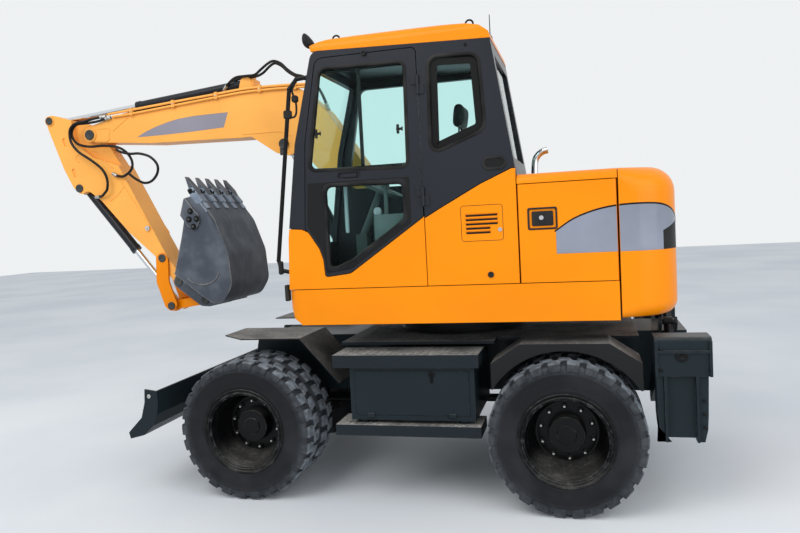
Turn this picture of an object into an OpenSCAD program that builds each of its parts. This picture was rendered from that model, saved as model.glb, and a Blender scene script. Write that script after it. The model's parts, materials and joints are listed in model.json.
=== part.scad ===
// Wheeled excavator on two axles with twin tyres, a front blade and two rear outriggers.
// Millimetres. +X is forward, +Y is the machine's left (cab side), +Z is up.
// The origin is on the ground under the middle of the machine as it stands.

/* [Undercarriage] */
// Distance between the axles
wheelbase = 2180; // [2140:10:2240]
// Rear axle behind the origin
rear_axle_back = 1797; // [1790:1:1805]
// Slew centre ahead of the rear axle
slew_ahead = 780; // [740:10:820]
// Tyre radius over the lugs, also the height of both axles
tyre_r = 487; // [484:1:490]
// Width of one tyre
tyre_w = 225; // [215:1:228]
// Distance between the middles of two twin tyres
twin_pitch = 265; // [258:1:275]
// Middle of the twin tyres out from the centre line, rear axle
rear_track_half = 807; // [800:1:820]
// Middle of the twin tyres out from the centre line, front axle
front_track_half = 767; // [762:1:775]
// Lugs around one row of a tyre
lug_count = 26; // [20:1:28]
// Height of a lug over the tread
lug_h = 19; // [12:1:22]
// Pitch circle of the wheel nuts
stud_pcd = 335; // [320:5:350]
// Wheel nuts on one wheel
stud_count = 10; // [6:1:12]
// Kingpin out from the centre line
kingpin_y = 470; // [462:1:478]
// Half width of the main frame box
frame_hw = 280; // [260:5:290]
// Underside of the main frame box
frame_z0 = 620; // [616:1:630]
// Top of the main frame box
frame_z1 = 1040; // [1020:5:1050]
// Thickness of the deck plate
deck_t = 20; // [12:1:26]
// Half width of the deck between the wheels
deck_hw = 750; // [700:10:780]
// Outer side of the steps from the centre line
step_y = 1000; // [980:5:1010]
// Thickness of the lower step
step_t = 72; // [50:2:80]
// Thickness of fender plate
fender_t = 8; // [5:1:12]
// Outer edge of the rear fenders from the centre line
fender_y = 930; // [900:5:950]

/* [Blade and outriggers] */
// Full width of the blade
blade_w = 2080; // [2000:10:2100]
// Thickness of the blade's curved plate
blade_t = 16; // [10:1:20]
// Outrigger hinge out from the centre line
outrig_y = 375; // [370:1:380]
// Length of an outrigger's head along the machine
outrig_head = 318; // [300:3:330]

/* [Upper body] */
// Half width of the upper body
upper_hw = 980; // [970:2:990]
// Underside of the upper body
upper_z0 = 1212; // [1205:1:1225]
// Line where the side panels start
panel_z = 1460; // [1455:1:1470]
// Top of the engine hood
hood_z = 2130; // [2110:5:2150]
// Tail radius of the counterweight behind the slew centre
tail_x = 1475; // [1440:5:1490]
// Thickness of panels
panel_t = 30; // [20:1:34]
// Gap between neighbouring panels
gap = 5; // [4:0.5:7]

/* [Cab] */
// Inner side of the cab from the centre line
cab_y0 = 60; // [50:1:70]
// Thickness of the cab's walls
cab_wall = 42; // [36:1:46]
// Top of the cab's walls
cab_z = 2985; // [2960:5:3000]
// Height of the roof cap
roof_h = 108; // [100:2:112]
// Thickness of the glass
glass_t = 6; // [4:1:8]

/* [Boom and arm] */
// Boom plane right of the centre line
boom_y = 140; // [136:1:144]
// Width of the boom and arm boxes
boom_w = 220; // [200:5:224]
// Radius of the large pins
pin_r = 32; // [26:1:34]
// Radial clearance of the pins
pin_c = 0.05; // [0.03:0.01:0.08]
// Radius of the working cylinders' barrels
barrel_r = 50; // [44:1:52]
// Radius of the working cylinders' rods
rod_r = 30; // [24:1:32]
// Width of the bucket
bucket_w = 700; // [660:10:720]
// Teeth on the bucket
tooth_count = 5; // [3:1:6]
// Thickness of the bucket's shell
shell_t = 16; // [12:1:20]

/* [Hidden] */
$fn = 48;
rx = -rear_axle_back;
fx = rx + wheelbase;
sx = rx + slew_ahead;
by = -boom_y;
bhw = boom_w / 2;
az = tyre_r;
deck_z = frame_z1 + deck_t;
c_orange = [1, 0.59, 0.05];
c_slate = [0.13, 0.16, 0.18];
c_char = [0.14, 0.15, 0.18];
c_black = [0.06, 0.06, 0.07];

// Helpers: corners filleted by arcs, boxes by two corners, prisms across Y, Z and X
function unit(v) = v / norm(v);
function fil(p, r, n = 5) = [for (i = [0:len(p) - 1])
    let (a = p[(i + len(p) - 1) % len(p)], b = p[i], c = p[(i + 1) % len(p)],
        q = is_list(r) ? r[i] : r, u = unit(a - b), v = unit(c - b), t = acos(u * v), h = t / 2)
    each q <= 0 ? [b] : let (o = b + unit(u + v) * q / sin(h), e = q / tan(h),
        f = b + u * e - o, g = b + v * e - o, k = 180 - t)
        [for (j = [0:n]) o + (f * sin(k * (1 - j / n)) + g * sin(k * j / n)) / sin(k)]];
module bx(a, b) translate(a) cube(b - a);
module xz(p, y0, y1) translate([0, y1, 0]) rotate([90, 0, 0]) linear_extrude(height = y1 - y0) polygon(p);
module xy(p, z0, z1) translate([0, 0, z0]) linear_extrude(height = z1 - z0) polygon(p);
module yz(p, x0, x1) translate([x0, 0, 0]) rotate([90, 0, 90]) linear_extrude(height = x1 - x0) polygon(p);
module cy(p, r, w) translate([p[0], p[1], p[2]]) rotate([90, 0, 0]) cylinder(r = r, h = w, center = true);
module cx(p, r, w) translate([p[0], p[1], p[2]]) rotate([0, 90, 0]) cylinder(r = r, h = w, center = true);
module cz(p, r, w) translate([p[0], p[1], p[2]]) cylinder(r = r, h = w, center = true);
module both() { children(); mirror([0, 1, 0]) children(); }
function rect(x0, x1, y0, y1) = [[x0, y0], [x1, y0], [x1, y1], [x0, y1]];
function off(p, d) = [for (i = [0:len(p) - 1]) let (a = p[max(i - 1, 0)], b = p[i], c = p[min(i + 1, len(p) - 1)],
    u = i == 0 ? unit(c - b) : unit(b - a), v = i == len(p) - 1 ? u : unit(c - b), m = unit(u + v),
    s = 1 / sqrt((1 + u * v) / 2)) b + [-m[1], m[0]] * d * s];
function sheet(p, d) = concat(p, [for (i = [len(p) - 1:-1:0]) off(p, d)[i]]);
function rev(p) = [for (i = [len(p) - 1:-1:0]) p[i]];

// Hydraulic cylinder along local +X, its pins along Y: barrel with its eye, then the rod
module barrel(r, rr, len, pr, ew) {
    rotate([0, 90, 0]) difference() {
        union() {
            translate([0, 0, pr * 1.5]) cylinder(r = r, h = len - pr * 1.5);
            translate([0, 0, len - 40]) cylinder(r = r + 4, h = 40);
        }
        translate([0, 0, pr * 2 + 22]) cylinder(r = r - 8, h = len - pr * 2 - 22 - 30);
        translate([0, 0, len - 60]) cylinder(r = rr + pin_c, h = 120);
        rotate([90, 0, 0]) cylinder(r = pr * 1.5, h = r * 3, center = true);
    }
    rotate([90, 0, 0]) difference() {
        cylinder(r = pr * 1.9, h = ew, center = true);
        cylinder(r = pr + pin_c, h = ew + 2, center = true);
    }
}
module rod(r, rr, blen, dist, pr, ew, piston_at) {
    rotate([0, 90, 0]) {
        translate([0, 0, piston_at]) cylinder(r = rr, h = dist - pr * 1.5 - piston_at);
        translate([0, 0, piston_at]) cylinder(r = r - 8 - pin_c, h = 36);
    }
    translate([dist, 0, 0]) rotate([90, 0, 0]) difference() {
        cylinder(r = pr * 1.9, h = ew, center = true);
        cylinder(r = pr + 6, h = ew + 2, center = true);
    }
}
function ang(a, b) = atan2(b[1] - a[1], b[0] - a[0]);
module in_xz(a, b, y) translate([a[0], y, a[1]]) rotate([0, -ang(a, b), 0]) children();
module in_yz(a, b, x) translate([x, a[0], a[1]]) rotate([0, 0, 90]) rotate([0, -ang(a, b), 0]) children();

// Wheel: two rims back to back on one hub, in local axes with +Y outward from the twin's middle plane
rim_r = 256;
tw = tyre_w / 2;
tp = twin_pitch / 2;
fl_in = tw - 10;
module ring_y(p) rotate([90, 0, 0]) mirror([0, 0, 1]) rotate_extrude($fn = 96) polygon(p);
function rim_half(s) = [[98, 0], [200, 0], [236, s * (tp - fl_in - 8)], [286, s * (tp - fl_in - 8)],
    [286, s * (tp - fl_in)], [rim_r - 0.3, s * (tp - fl_in)], [rim_r - 0.3, s * (tp + fl_in)],
    [286, s * (tp + fl_in)], [286, s * (tp + fl_in + 8)], [246, s * (tp + fl_in + 8)], [243, s * 62],
    [205, s * 12], [98, s * 12]];
module wheel_pair() {
    difference() {
        union() {
            ring_y(rim_half(1));
            ring_y(rim_half(-1));
            cy([0, -45, 0], 99, 210);
            cy([0, 70, 0], 116, 80);
            cy([0, 80, 0], 80, 80);
            for (i = [0:stud_count - 1]) rotate([0, i * 360 / stud_count, 0])
                translate([stud_pcd / 2, 10, 0]) rotate([-90, 0, 0]) cylinder(r = 17, h = 34, $fn = 6);
        }
        cy([0, -75, 0], 40 + pin_c, 220);
    }
}
tread_r = tyre_r - lug_h;
tyre_prof = concat([[rim_r, -fl_in + 0.5], [290, -fl_in + 0.5]],
    [for (q = [[330, 2], [385, 0], [430, 3], [tread_r - 8, 12]]) [q[0], -tw + q[1]]],
    [[tread_r, -tw + 40], [tread_r, tw - 40]],
    [for (q = [[tread_r - 8, 12], [430, 3], [385, 0], [330, 2]]) [q[0], tw - q[1]]],
    [[290, fl_in - 0.5], [rim_r, fl_in - 0.5]]);
module lug_row(y0, y1, turn) {
    p = 360 / lug_count;
    translate([0, y1, 0]) rotate([90, turn, 0]) difference() {
        linear_extrude(height = y1 - y0) polygon([for (i = [0:lug_count - 1])
            for (q = [[-0.5, tread_r - 12], [-0.27, tread_r - 12], [-0.24, tyre_r], [0.24, tyre_r],
                [0.27, tread_r - 12]]) q[1] * [cos(p * (i + q[0])), sin(p * (i + q[0]))]]);
        translate([0, 0, -1]) cylinder(r = tread_r - 30, h = y1 - y0 + 2, $fn = 96);
    }
}
module tyre() {
    ring_y(tyre_prof);
    lug_row(6, tw - 6, 0);
    lug_row(-tw + 6, -6, 180 / lug_count);
}
module tyre_pair() for (s = [-1, 1]) translate([0, s * tp, 0]) tyre();

// Undercarriage
outrig_x0 = rx - 848;
outrig_x1 = outrig_x0 + outrig_head;
outrig_xc = rx - 680;
frame_back = rx - 800;
blade_h = [fx + 190, 500];
blade_cb = [fx + 50, 960];
blade_ce = [fx + 565, 672];
out_p = [outrig_y, frame_z0];
out_b = [frame_hw + 20, frame_z1 + 62];
out_e = [outrig_y + 138, frame_z0 + 116];
module chassis_frame() color(c_slate) difference() {
    union() {
        bx([frame_back, -frame_hw, frame_z0], [fx - 80, frame_hw, frame_z1]);
        both() xz([[fx - 80, frame_z0], [fx + 130, frame_z0], [blade_h[0] - 50, blade_h[1] - 20],
            [blade_h[0], blade_h[1] - 52], [blade_h[0] + 40, blade_h[1] - 40], [blade_h[0] + 62, blade_h[1] + 10],
            [fx + 270, 700], [fx + 200, frame_z1], [fx - 80, frame_z1]], frame_hw - 50, frame_hw - 20);
        for (s = [-1, 1]) bx([fx - 80, s * 62 - 12, blade_cb[1] - 105], [fx + 110, s * 62 + 12, frame_z1]);
        bx([fx - 80, -frame_hw + 20, frame_z1 - 22], [fx + 110, frame_hw - 20, frame_z1]);
        cy([blade_cb[0], 0, blade_cb[1]], 20, 148);
        // Ears for the outriggers and their cylinders
        both() for (s = [-1, 1]) {
            translate([outrig_xc + s * 73 - 13, 0, 0]) yz([[frame_hw - 10, out_p[1] + 90], [frame_hw - 10, out_p[1]],
                [out_p[0], out_p[1] - 48], [out_p[0] + 48, out_p[1]], [out_p[0], out_p[1] + 55]], 0, 26);
            translate([outrig_xc + s * 50 - 9, 0, 0]) yz([[frame_hw - 110, frame_z1 - 10], [frame_hw, frame_z1 - 10],
                [out_b[0] + 30, out_b[1] - 6], [out_b[0], out_b[1] + 34], [out_b[0] - 40, out_b[1] + 10]], 0, 18);
        }
        both() cx([outrig_xc, out_b[0], out_b[1]], 18, 118);
        // Tow lug
        bx([frame_back - 76, -60, 700], [frame_back + 10, 60, 740]);
    }
    translate([frame_back - 38, 0, 690]) cylinder(r = 20, h = 60);
    cy([blade_h[0], 0, blade_h[1]], 25 + pin_c, 600);
    both() cx([outrig_xc, out_p[0], out_p[1]], 25 + pin_c, 260);
}
fen_x = fx - 664;
module deck() color(c_slate) {
    xy([[rx - 470, -600], [rx + 450, -600], [rx + 450, -deck_hw], [fen_x, -deck_hw], [fen_x, deck_hw],
        [rx + 450, deck_hw], [rx + 450, 600], [rx - 470, 600]], frame_z1, deck_z);
    translate([sx, 0, deck_z]) difference() {
        union() {
            cylinder(r = 450, h = 28, $fn = 96);
            cylinder(r = 375, h = 92, $fn = 96);
        }
        translate([0, 0, -1]) cylinder(r = 250, h = 200, $fn = 96);
    }
}
box_x = [rx + 560, fx - 783];
step_x = [rx + 525, fx - 680];
box_z = [575, 930];
module tool_boxes() color(c_slate) both() xz(rect(box_x[0], box_x[1], box_z[0], box_z[1]), frame_hw, step_y - 40);
module steps() color(c_slate) both() {
    bx([step_x[0], 700, box_z[1]], [step_x[1], step_y, 1015]);
    bx([step_x[0], 730, 550 - step_t], [step_x[1], step_y, 550]);
    for (x = [box_x[0] + 60, box_x[1] - 100]) bx([x, 760, 545], [x + 40, 940, box_z[0]]);
}
rear_fen = [[rx + 450, 775], [rx + 450, 938], [rx + 267, deck_z], [rx - 274, deck_z], [rx - 458, 938],
    [rx - 458, 775]];
front_fen = [[fx - 645, 779], [fx - 366, 1090], [fx + 300, 1090]];
module fenders() color([0.16, 0.15, 0.14]) both() {
    xz(sheet(rear_fen, -fender_t), 600, fender_y);
    difference() {
        xz(rear_fen, fender_y - 6, fender_y);
        cy([rx, fender_y, az], 535, 40);
        bx([rx - 600, fender_y - 20, 400], [rx + 600, fender_y + 20, 774]);
    }
    difference() {
        xz(sheet(front_fen, fender_t), frame_hw, 800);
        xy([[fx + 80, 801], [fx + 301, 620], [fx + 301, 801]], 1000, 1200);
    }
    bx([fx - 366, frame_hw, frame_z1], [fx - 80, frame_hw + 12, 1090]);
}
module axle(hw, boss) {
    cy([0, 0, 0], 62, 2 * hw);
    sphere(r = 125);
    both() bx([-80, 190, 0], [80, 262, frame_z0 - az]);
    if (boss) both() difference() {
        cz([0, kingpin_y, 0], 48, 168);
        cz([0, kingpin_y, 0], 22 + pin_c, 200);
    }
}
module axle_front() color(c_slate) translate([fx, 0, az]) difference() {
    axle(kingpin_y - 10, true);
    both() cz([0, kingpin_y, 0], 22 + pin_c, 200);
}
module axle_rear() color(c_slate) translate([rx, 0, az]) {
    axle(rear_track_half - 160, false);
    cy([0, 0, 0], 40, 2 * (rear_track_half + 30));
}
module driveline() color(c_black) {
    bx([rx + 700, -130, 400], [rx + 1080, 130, frame_z0]);
    cx([(rx + 700 + rx + 125.5) / 2, 0, az], 30, 574);
    cx([(rx + 1080 + fx - 125.5) / 2, 0, az], 30, fx - 125.5 - rx - 1080);
}
module knuckle() translate([fx, 0, az]) {
    for (s = [-1, 1]) bx([-50, kingpin_y - 50, s * 100 - 15], [50, kingpin_y + 100, s * 100 + 15]);
    bx([-50, kingpin_y + 75, -115], [50, kingpin_y + 110, 115]);
    cz([0, kingpin_y, 0], 22, 230);
    cy([0, (kingpin_y + 100 + front_track_half + 30) / 2, 0], 40, front_track_half + 30 - kingpin_y - 100);
}
module knuckle_left() color(c_slate) knuckle();
module knuckle_right() color(c_slate) mirror([0, 1, 0]) knuckle();
module wheels_front_left() color(c_black) translate([fx, front_track_half, az]) wheel_pair();
module wheels_front_right() color(c_black) mirror([0, 1, 0]) translate([fx, front_track_half, az]) wheel_pair();
module wheels_rear_left() color(c_black) translate([rx, rear_track_half, az]) wheel_pair();
module wheels_rear_right() color(c_black) mirror([0, 1, 0]) translate([rx, rear_track_half, az]) wheel_pair();
module tyres_front_left() color(c_black) translate([fx, front_track_half, az]) tyre_pair();
module tyres_front_right() color(c_black) mirror([0, 1, 0]) translate([fx, front_track_half, az]) tyre_pair();
module tyres_rear_left() color(c_black) translate([rx, rear_track_half, az]) tyre_pair();
module tyres_rear_right() color(c_black) mirror([0, 1, 0]) translate([rx, rear_track_half, az]) tyre_pair();

// Blade: mouldboard section as an arc, two arms, cylinder lug
bm = [fx + 640, 720];
blade_sec = [[fx + 655, 772], [fx + 648, 700], [fx + 662, 610], [fx + 700, 530], [fx + 770, 468], [fx + 880, 440]];
module blade() color(c_slate) difference() {
    union() {
        xz(sheet(blade_sec, -blade_t), -blade_w / 2, blade_w / 2);
        both() xz(concat(off(blade_sec, -blade_t / 2), [[fx + 888, 470], [fx + 775, 580], [fx + 742, 690], [fx + 735, 785]]),
            blade_w / 2 - 14, blade_w / 2);
        both() xz([[blade_h[0] - 40, blade_h[1] - 30], [blade_h[0] + 20, blade_h[1] - 45], [fx + 700, 470],
            [fx + 655, 640], [blade_h[0] + 60, blade_h[1] + 50], [blade_h[0] - 30, blade_h[1] + 40]],
            frame_hw - 100, frame_hw - 55);
        cy([blade_h[0], 0, blade_h[1]], 25, 2 * frame_hw - 40);
        for (s = [-1, 1]) {
            xz([[blade_ce[0] - 34, blade_ce[1]], [blade_ce[0], blade_ce[1] - 36], [fx + 668, 600], [fx + 652, 700],
                [blade_ce[0], blade_ce[1] + 36]], s * 62 - 12, s * 62 + 12);
            cy([blade_ce[0], s * 54, blade_ce[1]], 20, 30);
        }
    }
}
blade_len = norm(blade_ce - blade_cb);
module blade_barrel() color(c_black) in_xz(blade_cb, blade_ce, 0) barrel(38, 22, 430, 20, 70);
module blade_rod() color("silver") in_xz(blade_cb, blade_ce, 0) rod(38, 22, 430, blade_len, 20, 70, 130);

// Outrigger leg: two side plates on the hinge pin, a head box and the flanged foot plate
head = [783, 984, 878, 1110];
module outrigger() {
    for (s = [-1, 1]) translate([outrig_xc + s * 112 - 22, 0, 0])
        yz(fil([[out_p[0] - 48, out_p[1] - 20], [out_p[0] + 10, out_p[1] - 50], [head[1] - 20, head[2]],
            [head[1] - 20, head[3] - 60], [head[0], head[3] - 60], [out_p[0] - 20, out_p[1] + 52]],
            [30, 30, 0, 0, 40, 30]), 0, 44);
    cx([outrig_xc, out_p[0], out_p[1]], 25, 268);
    difference() {
        yz(fil([[head[0], head[2]], [head[1], head[2]], [head[1], head[3]], [head[0], head[3]]], [0, 0, 28, 20]),
            outrig_x0, outrig_x1);
        translate([outrig_x0 + 30, head[0] - 1, head[2] - 1]) cube([outrig_head - 60, 150, 160]);
    }
    bx([rx - 760, head[1] - 58, 500], [rx - 580, head[1] - 38, head[2] + 10]);
    for (x = [rx - 772, rx - 594]) bx([x, head[1] - 96, 480], [x + 16, head[1], head[2] + 10]);
    xz([[rx - 828, 880], [rx - 768, 880], [rx - 768, 480], [rx - 800, 480], [rx - 818, 560], [rx - 822, 640]],
        head[1] - 130, head[1] - 16);
    bx([outrig_x0, head[1] - 10, head[3] - 92], [outrig_x1, head[1] + 14, head[3] - 76]);
    for (x = [outrig_x0, outrig_x1 - 16]) bx([x, head[1] - 10, head[2]], [x + 16, head[1] + 14, head[3] - 20]);
    for (s = [-1, 1]) cx([outrig_xc + s * 66, out_e[0], out_e[1]], 20, 56);
}
module outrigger_left() color(c_slate) outrigger();
module outrigger_right() color(c_slate) mirror([0, 1, 0]) outrigger();
out_len = norm(out_e - out_b);
module out_barrel() in_yz(out_b, out_e, outrig_xc) barrel(30, 18, 383, 18, 56);
module out_rod() in_yz(out_b, out_e, outrig_xc) rod(30, 18, 383, out_len, 18, 56, 60);
module outrigger_barrel_left() color(c_black) out_barrel();
module outrigger_barrel_right() color(c_black) mirror([0, 1, 0]) out_barrel();
module outrigger_rod_left() color("silver") out_rod();
module outrigger_rod_right() color("silver") mirror([0, 1, 0]) out_rod();

// Upper body, given from the slew centre
foot = [sx + 320, 1560];
bend_pin = [sx + 1408, 2560];
tip = [sx + 3232, 2779];
boom_cb = [sx + 850, 1390];
module on(x) translate([sx, 0, 0]) children();
split_x = -1130;
front_x = 1020;
hood_x = -540;
brk = bhw + 22;
module upper_frame() color(c_char) {
    difference() {
        union() {
            translate([sx, 0, 0]) cz([0, 0, (upper_z0 + deck_z + 92.5) / 2], 372, upper_z0 - deck_z - 92.5);
            on() xy(fil(rect(split_x - gap, front_x - 90, -upper_hw + panel_t, upper_hw - panel_t), [0, 60, 60, 0]),
                upper_z0, upper_z0 + 90);
            on() bx([hood_x - 20, -upper_hw + panel_t, upper_z0 + 90], [hood_x + 10, cab_y0 - 20, 1900]);
            on() bx([-500, cab_y0 + 20, upper_z0 + 90], [front_x - 120, upper_hw - 60, panel_z]);
            for (s = [-1, 1]) translate([0, by + s * (brk + 14), 0]) xz(fil([[sx - 200, upper_z0 + 80],
                [boom_cb[0] + 110, upper_z0 + 80], [boom_cb[0] + 80, boom_cb[1] + 60],
                [boom_cb[0] - 70, boom_cb[1] + 75], [foot[0] + 110, foot[1] + 60], [foot[0] + 10, foot[1] + 105],
                [foot[0] - 110, foot[1] + 30]], [0, 20, 60, 40, 60, 70, 60]), -14, 14);
        }
        translate([sx, 0, 0]) cz([0, 0, 1200], 240, 400);
    }
    for (p = [foot, boom_cb]) cy([p[0], by, p[1]], pin_r, 2 * brk + 56);
}
module side_skirts() color(c_orange) on() {
    cz([door_ax, upper_hw - panel_t / 2, panel_z - gap], 6, 60);
    difference() {
        xy(fil(rect(split_x + gap, front_x, -upper_hw, upper_hw), [0, 90, 90, 0]), upper_z0 + 6, panel_z - gap);
        translate([0, 0, upper_z0 - 1]) linear_extrude(height = 400)
            polygon(fil(rect(split_x - 50, front_x - panel_t, -upper_hw + panel_t, upper_hw - panel_t),
                [0, 65, 65, 0]));
        bx([front_x - 200, by - 200, 1000], [front_x + 20, cab_y0 - 10, 2000]);
        xz([[front_x + 1, 1385], [front_x - 42, 1262], [front_x - 92, 1228], [front_x - 92, 1200],
            [front_x + 1, 1200]], -upper_hw - 1, upper_hw + 1);
    }
}
module counterweight() color(c_orange) on() difference() {
    hull() {
        for (s = [-1, 1]) translate([-tail_x + 260, s * (upper_hw - 260), 0]) rotate_extrude($fn = 64)
            polygon(fil([[0, 1228], [260, 1228], [260, hood_z], [0, hood_z]], [0, 90, 150, 0], 7));
        yz(fil(rect(-upper_hw, upper_hw, 1228, hood_z), [40, 40, 60, 60]), split_x - gap - 2, split_x);
    }
    bx([split_x - gap, -upper_hw - 1, 1200], [split_x + 400, upper_hw + 1, hood_z + 1]);
}
door_z1 = hood_z - 65;
door_ax = split_x + gap + panel_t / 2;
module hood() color(c_orange) on() {
    cz([door_ax, upper_hw - panel_t / 2, door_z1 + gap], 6, 60);
    hood_shell();
}
module hood_shell() difference() {
    yz(fil([[-upper_hw, panel_z], [upper_hw, panel_z], [upper_hw, hood_z], [-upper_hw, hood_z]], [0, 0, 60, 60]),
        split_x, hood_x);
    yz(fil([[-upper_hw + panel_t, panel_z - 20], [upper_hw - panel_t, panel_z - 20],
        [upper_hw - panel_t, hood_z - panel_t], [-upper_hw + panel_t, hood_z - panel_t]], [0, 0, 40, 40]),
        split_x - 10, hood_x - 20.3);
    bx([hood_x - 20.4, -upper_hw + panel_t - 0.3, panel_z - 1], [hood_x + 1, cab_y0 - 19.7, 1900.3]);
    bx([split_x - 1, upper_hw - panel_t - 1, panel_z - 1], [hood_x + 1, upper_hw + 1, door_z1 + gap]);
}
module engine_door() color(c_orange) on() difference() {
    xy(fil(rect(split_x + gap, hood_x - gap, upper_hw - panel_t, upper_hw), [panel_t / 2 - 0.1, 0, 0, panel_t / 2 - 0.1]),
        panel_z, door_z1);
    for (z = [panel_z, door_z1]) cz([door_ax, upper_hw - panel_t / 2, z], 6 + pin_c, 70);
    bx([-770, upper_hw - 8, 1790], [-605, upper_hw + 1, 1912]);
}
module engine() color([0.3, 0.3, 0.3]) on() bx([split_x + 60, -560, upper_z0 + 90], [-640, 560, hood_z - 180]);
svc = [[-540 + gap, panel_z], [50 - gap, panel_z], [50 - gap, 1890], [-56, 1946], [-316, 2083], [-514, 2168],
    [-535, 2168]];
module service_panel() color(c_orange) on() difference() {
    xz(svc, upper_hw - panel_t, upper_hw);
    for (i = [0:4]) bx([i < 2 ? -368 : -415, upper_hw - 12, 1776 + 27 * i], [-216, upper_hw + 1, 1788 + 27 * i]);
}
module right_tank() color(c_orange) on() {
    xy(fil(rect(hood_x + 12, 420, -upper_hw, by - brk - 40), [0, 50, 20, 0]), panel_z, 1960);
    xy(fil(rect(420, 900, -upper_hw + 20, by - brk - 40), [0, 60, 20, 0]), panel_z, 1700);
    bx([hood_x + 12, -upper_hw + 60, upper_z0 + 90], [900, by - brk - 60, panel_z]);
}

// Cab: side outline [x, z] from the slew centre, its walls, roof, door and glass
cab_side = fil([[-500, panel_z], [1000, panel_z], [985, 1800], [900, 2420], [748, cab_z + 27], [-415, cab_z - 17],
    [-540, 2140], [-530, 2060]], [0, 0, 0, 0, 60, 0, 0, 0]);
function inset(p, d) = [for (i = [0:len(p) - 1]) let (a = p[(i + len(p) - 1) % len(p)], b = p[i],
    c = p[(i + 1) % len(p)], u = unit(b - a), v = unit(c - b), m = unit(u + v), s = 1 / sqrt((1 + u * v) / 2))
    b + [-m[1], m[0]] * d * s];
function at_z(z) = z < 1800 ? 1000 - 15 * (z - panel_z) / (1800 - panel_z)
    : z < 2420 ? 985 - 85 * (z - 1800) / 620 : 900 - 145 * (z - 2420) / (cab_z - 2420);
door_out = fil([[54, 1903], [561, 1560], [735, 1540], [742, 1651], [765, 1725], [829, 1826], [859, 1862],
    [at_z(2420) - 75, 2420], [at_z(2960) - 40, 2960], [54, 2960]], [20, 60, 15, 0, 100, 40, 30, 300, 60, 30]);
upper_win = fil([[140, 2225], [808, 2245], [700, 2895], [130, 2880]], [40, 40, 60, 40]);
lower_win = fil([[172, 2129], [172, 1890], [548, 1636], [660, 1592], [706, 1600], [708, 2139]],
    [40, 60, 100, 30, 30, 50]);
quarter_win = fil([[-15, 2290], [-25, 2895], [-338, 2880], [-362, 2420]], [50, 60, 60, 70]);
hinge_z = [2000, 2700];
module cab_shell() color(c_char) on() {
    cab_walls();
    for (z = hinge_z) {
        bx([8, upper_hw, z - 30], [48, upper_hw + 7, z + 30]);
        translate([48, upper_hw + 12, z - 30]) cylinder(r = 10, h = 60);
    }
}
module cab_walls() difference() {
    xz(cab_side, cab_y0, upper_hw);
    xz(inset(cab_side, cab_wall), cab_y0 + cab_wall, upper_hw - cab_wall);
    // Door opening and the low part that the service panel covers
    xz(door_out_cut, upper_hw - cab_wall - 1, upper_hw + 1);
    xz(svc_cut, upper_hw - panel_t - 0.3, upper_hw + 1);
    xz(sill_cut, upper_hw - panel_t - 0.3, upper_hw + 1);
    xz(quarter_win, upper_hw - cab_wall - 1, upper_hw + 1);
    // Right window, windscreen and rear window
    xz(fil([[-330, 2150], [840, 2150], [700, 2900], [-330, 2900]], 60), cab_y0 - 1, cab_y0 + cab_wall + 1);
    bx([600, cab_y0 + 70, 1750], [1100, upper_hw - 70, 2900]);
    bx([-700, cab_y0 + 90, 2240], [-350, upper_hw - 90, 2880]);
}
door_out_cut = [for (q = inset(door_out, -gap)) q];
svc_cut = inset(svc, -gap);
sill_cut = [[50 - gap, panel_z - 1], [1002, panel_z - 1], [990, 1800], [981, 1870], [888, 1863], [850, 1846],
    [400, 1700], [50 - gap, 1960]];
module cab_sill() color(c_orange) on() difference() {
    xz([[50, panel_z], [1000, panel_z], [985, 1800], [at_z(1865), 1865], [888, 1858], [850, 1840], [400, 1700],
        [50, 1950]], upper_hw - panel_t, upper_hw);
    xz(door_out_cut, upper_hw - panel_t - 1, upper_hw + 1);
}
roof_z = cab_z + roof_h;
roof_side = [[-418, cab_z - 16.8], [752, cab_z + 27.4], [757, roof_z - 46], [700, roof_z - 24], [643, roof_z - 12],
    [423, roof_z - 1], [210, roof_z], [-100, roof_z - 6], [-261, roof_z - 17], [-350, roof_z - 38], [-407, roof_z - 82]];
module cab_roof() color(c_orange) on() intersection() {
    xz(roof_side, cab_y0, upper_hw);
    yz(fil(rect(cab_y0 + 4, upper_hw - 4, cab_z - 40, roof_z), [0, 0, 60, 60]), -430, 770);
}
module cab_glass() color([0.2, 0.4, 0.38, 0.4]) on() {
    xz(quarter_win, upper_hw - 20, upper_hw - 20 + glass_t);
    xz(fil([[-330, 2150], [840, 2150], [700, 2900], [-330, 2900]], 60), cab_y0 + 15, cab_y0 + 15 + glass_t);
    intersection() {
        xz(concat([for (q = [[988, 1750], [985, 1800], [900, 2420], [774, 2900]]) q - [14 + glass_t, 0]],
            rev([for (q = [[988, 1750], [985, 1800], [900, 2420], [774, 2900]]) q - [14, 0]])),
            cab_y0 + 70, upper_hw - 70);
    }
    xz([[-505, 2240], [-505 + glass_t, 2240], [-412 + glass_t, 2880], [-412, 2880]], cab_y0 + 90, upper_hw - 90);
}
module cab_door() color(c_char) on() {
    difference() {
        xz(door_out, upper_hw - cab_wall, upper_hw);
        xz(upper_win, upper_hw - cab_wall - 1, upper_hw + 1);
        xz(lower_win, upper_hw - cab_wall - 1, upper_hw + 1);
        xz(fil(rect(456, 613, 2174, 2216), 20), upper_hw - 14, upper_hw + 1);
    }
    bx([485, upper_hw - 15, 2184], [585, upper_hw - 4, 2206]);
    for (z = hinge_z) {
        bx([48, upper_hw, z + 30.3], [92, upper_hw + 7, z + 90]);
        translate([48, upper_hw + 12, z + 30.3]) cylinder(r = 10, h = 59.7);
    }
}
module door_glass() color([0.2, 0.4, 0.38, 0.4]) on() {
    xz(upper_win, upper_hw - 20, upper_hw - 20 + glass_t);
    xz(lower_win, upper_hw - 20, upper_hw - 20 + glass_t);
}
fl_z = panel_z + cab_wall;
seat_hw = 240;
pod = [seat_hw + 20, (upper_hw - cab_y0) / 2 - cab_wall - 18];
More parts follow.
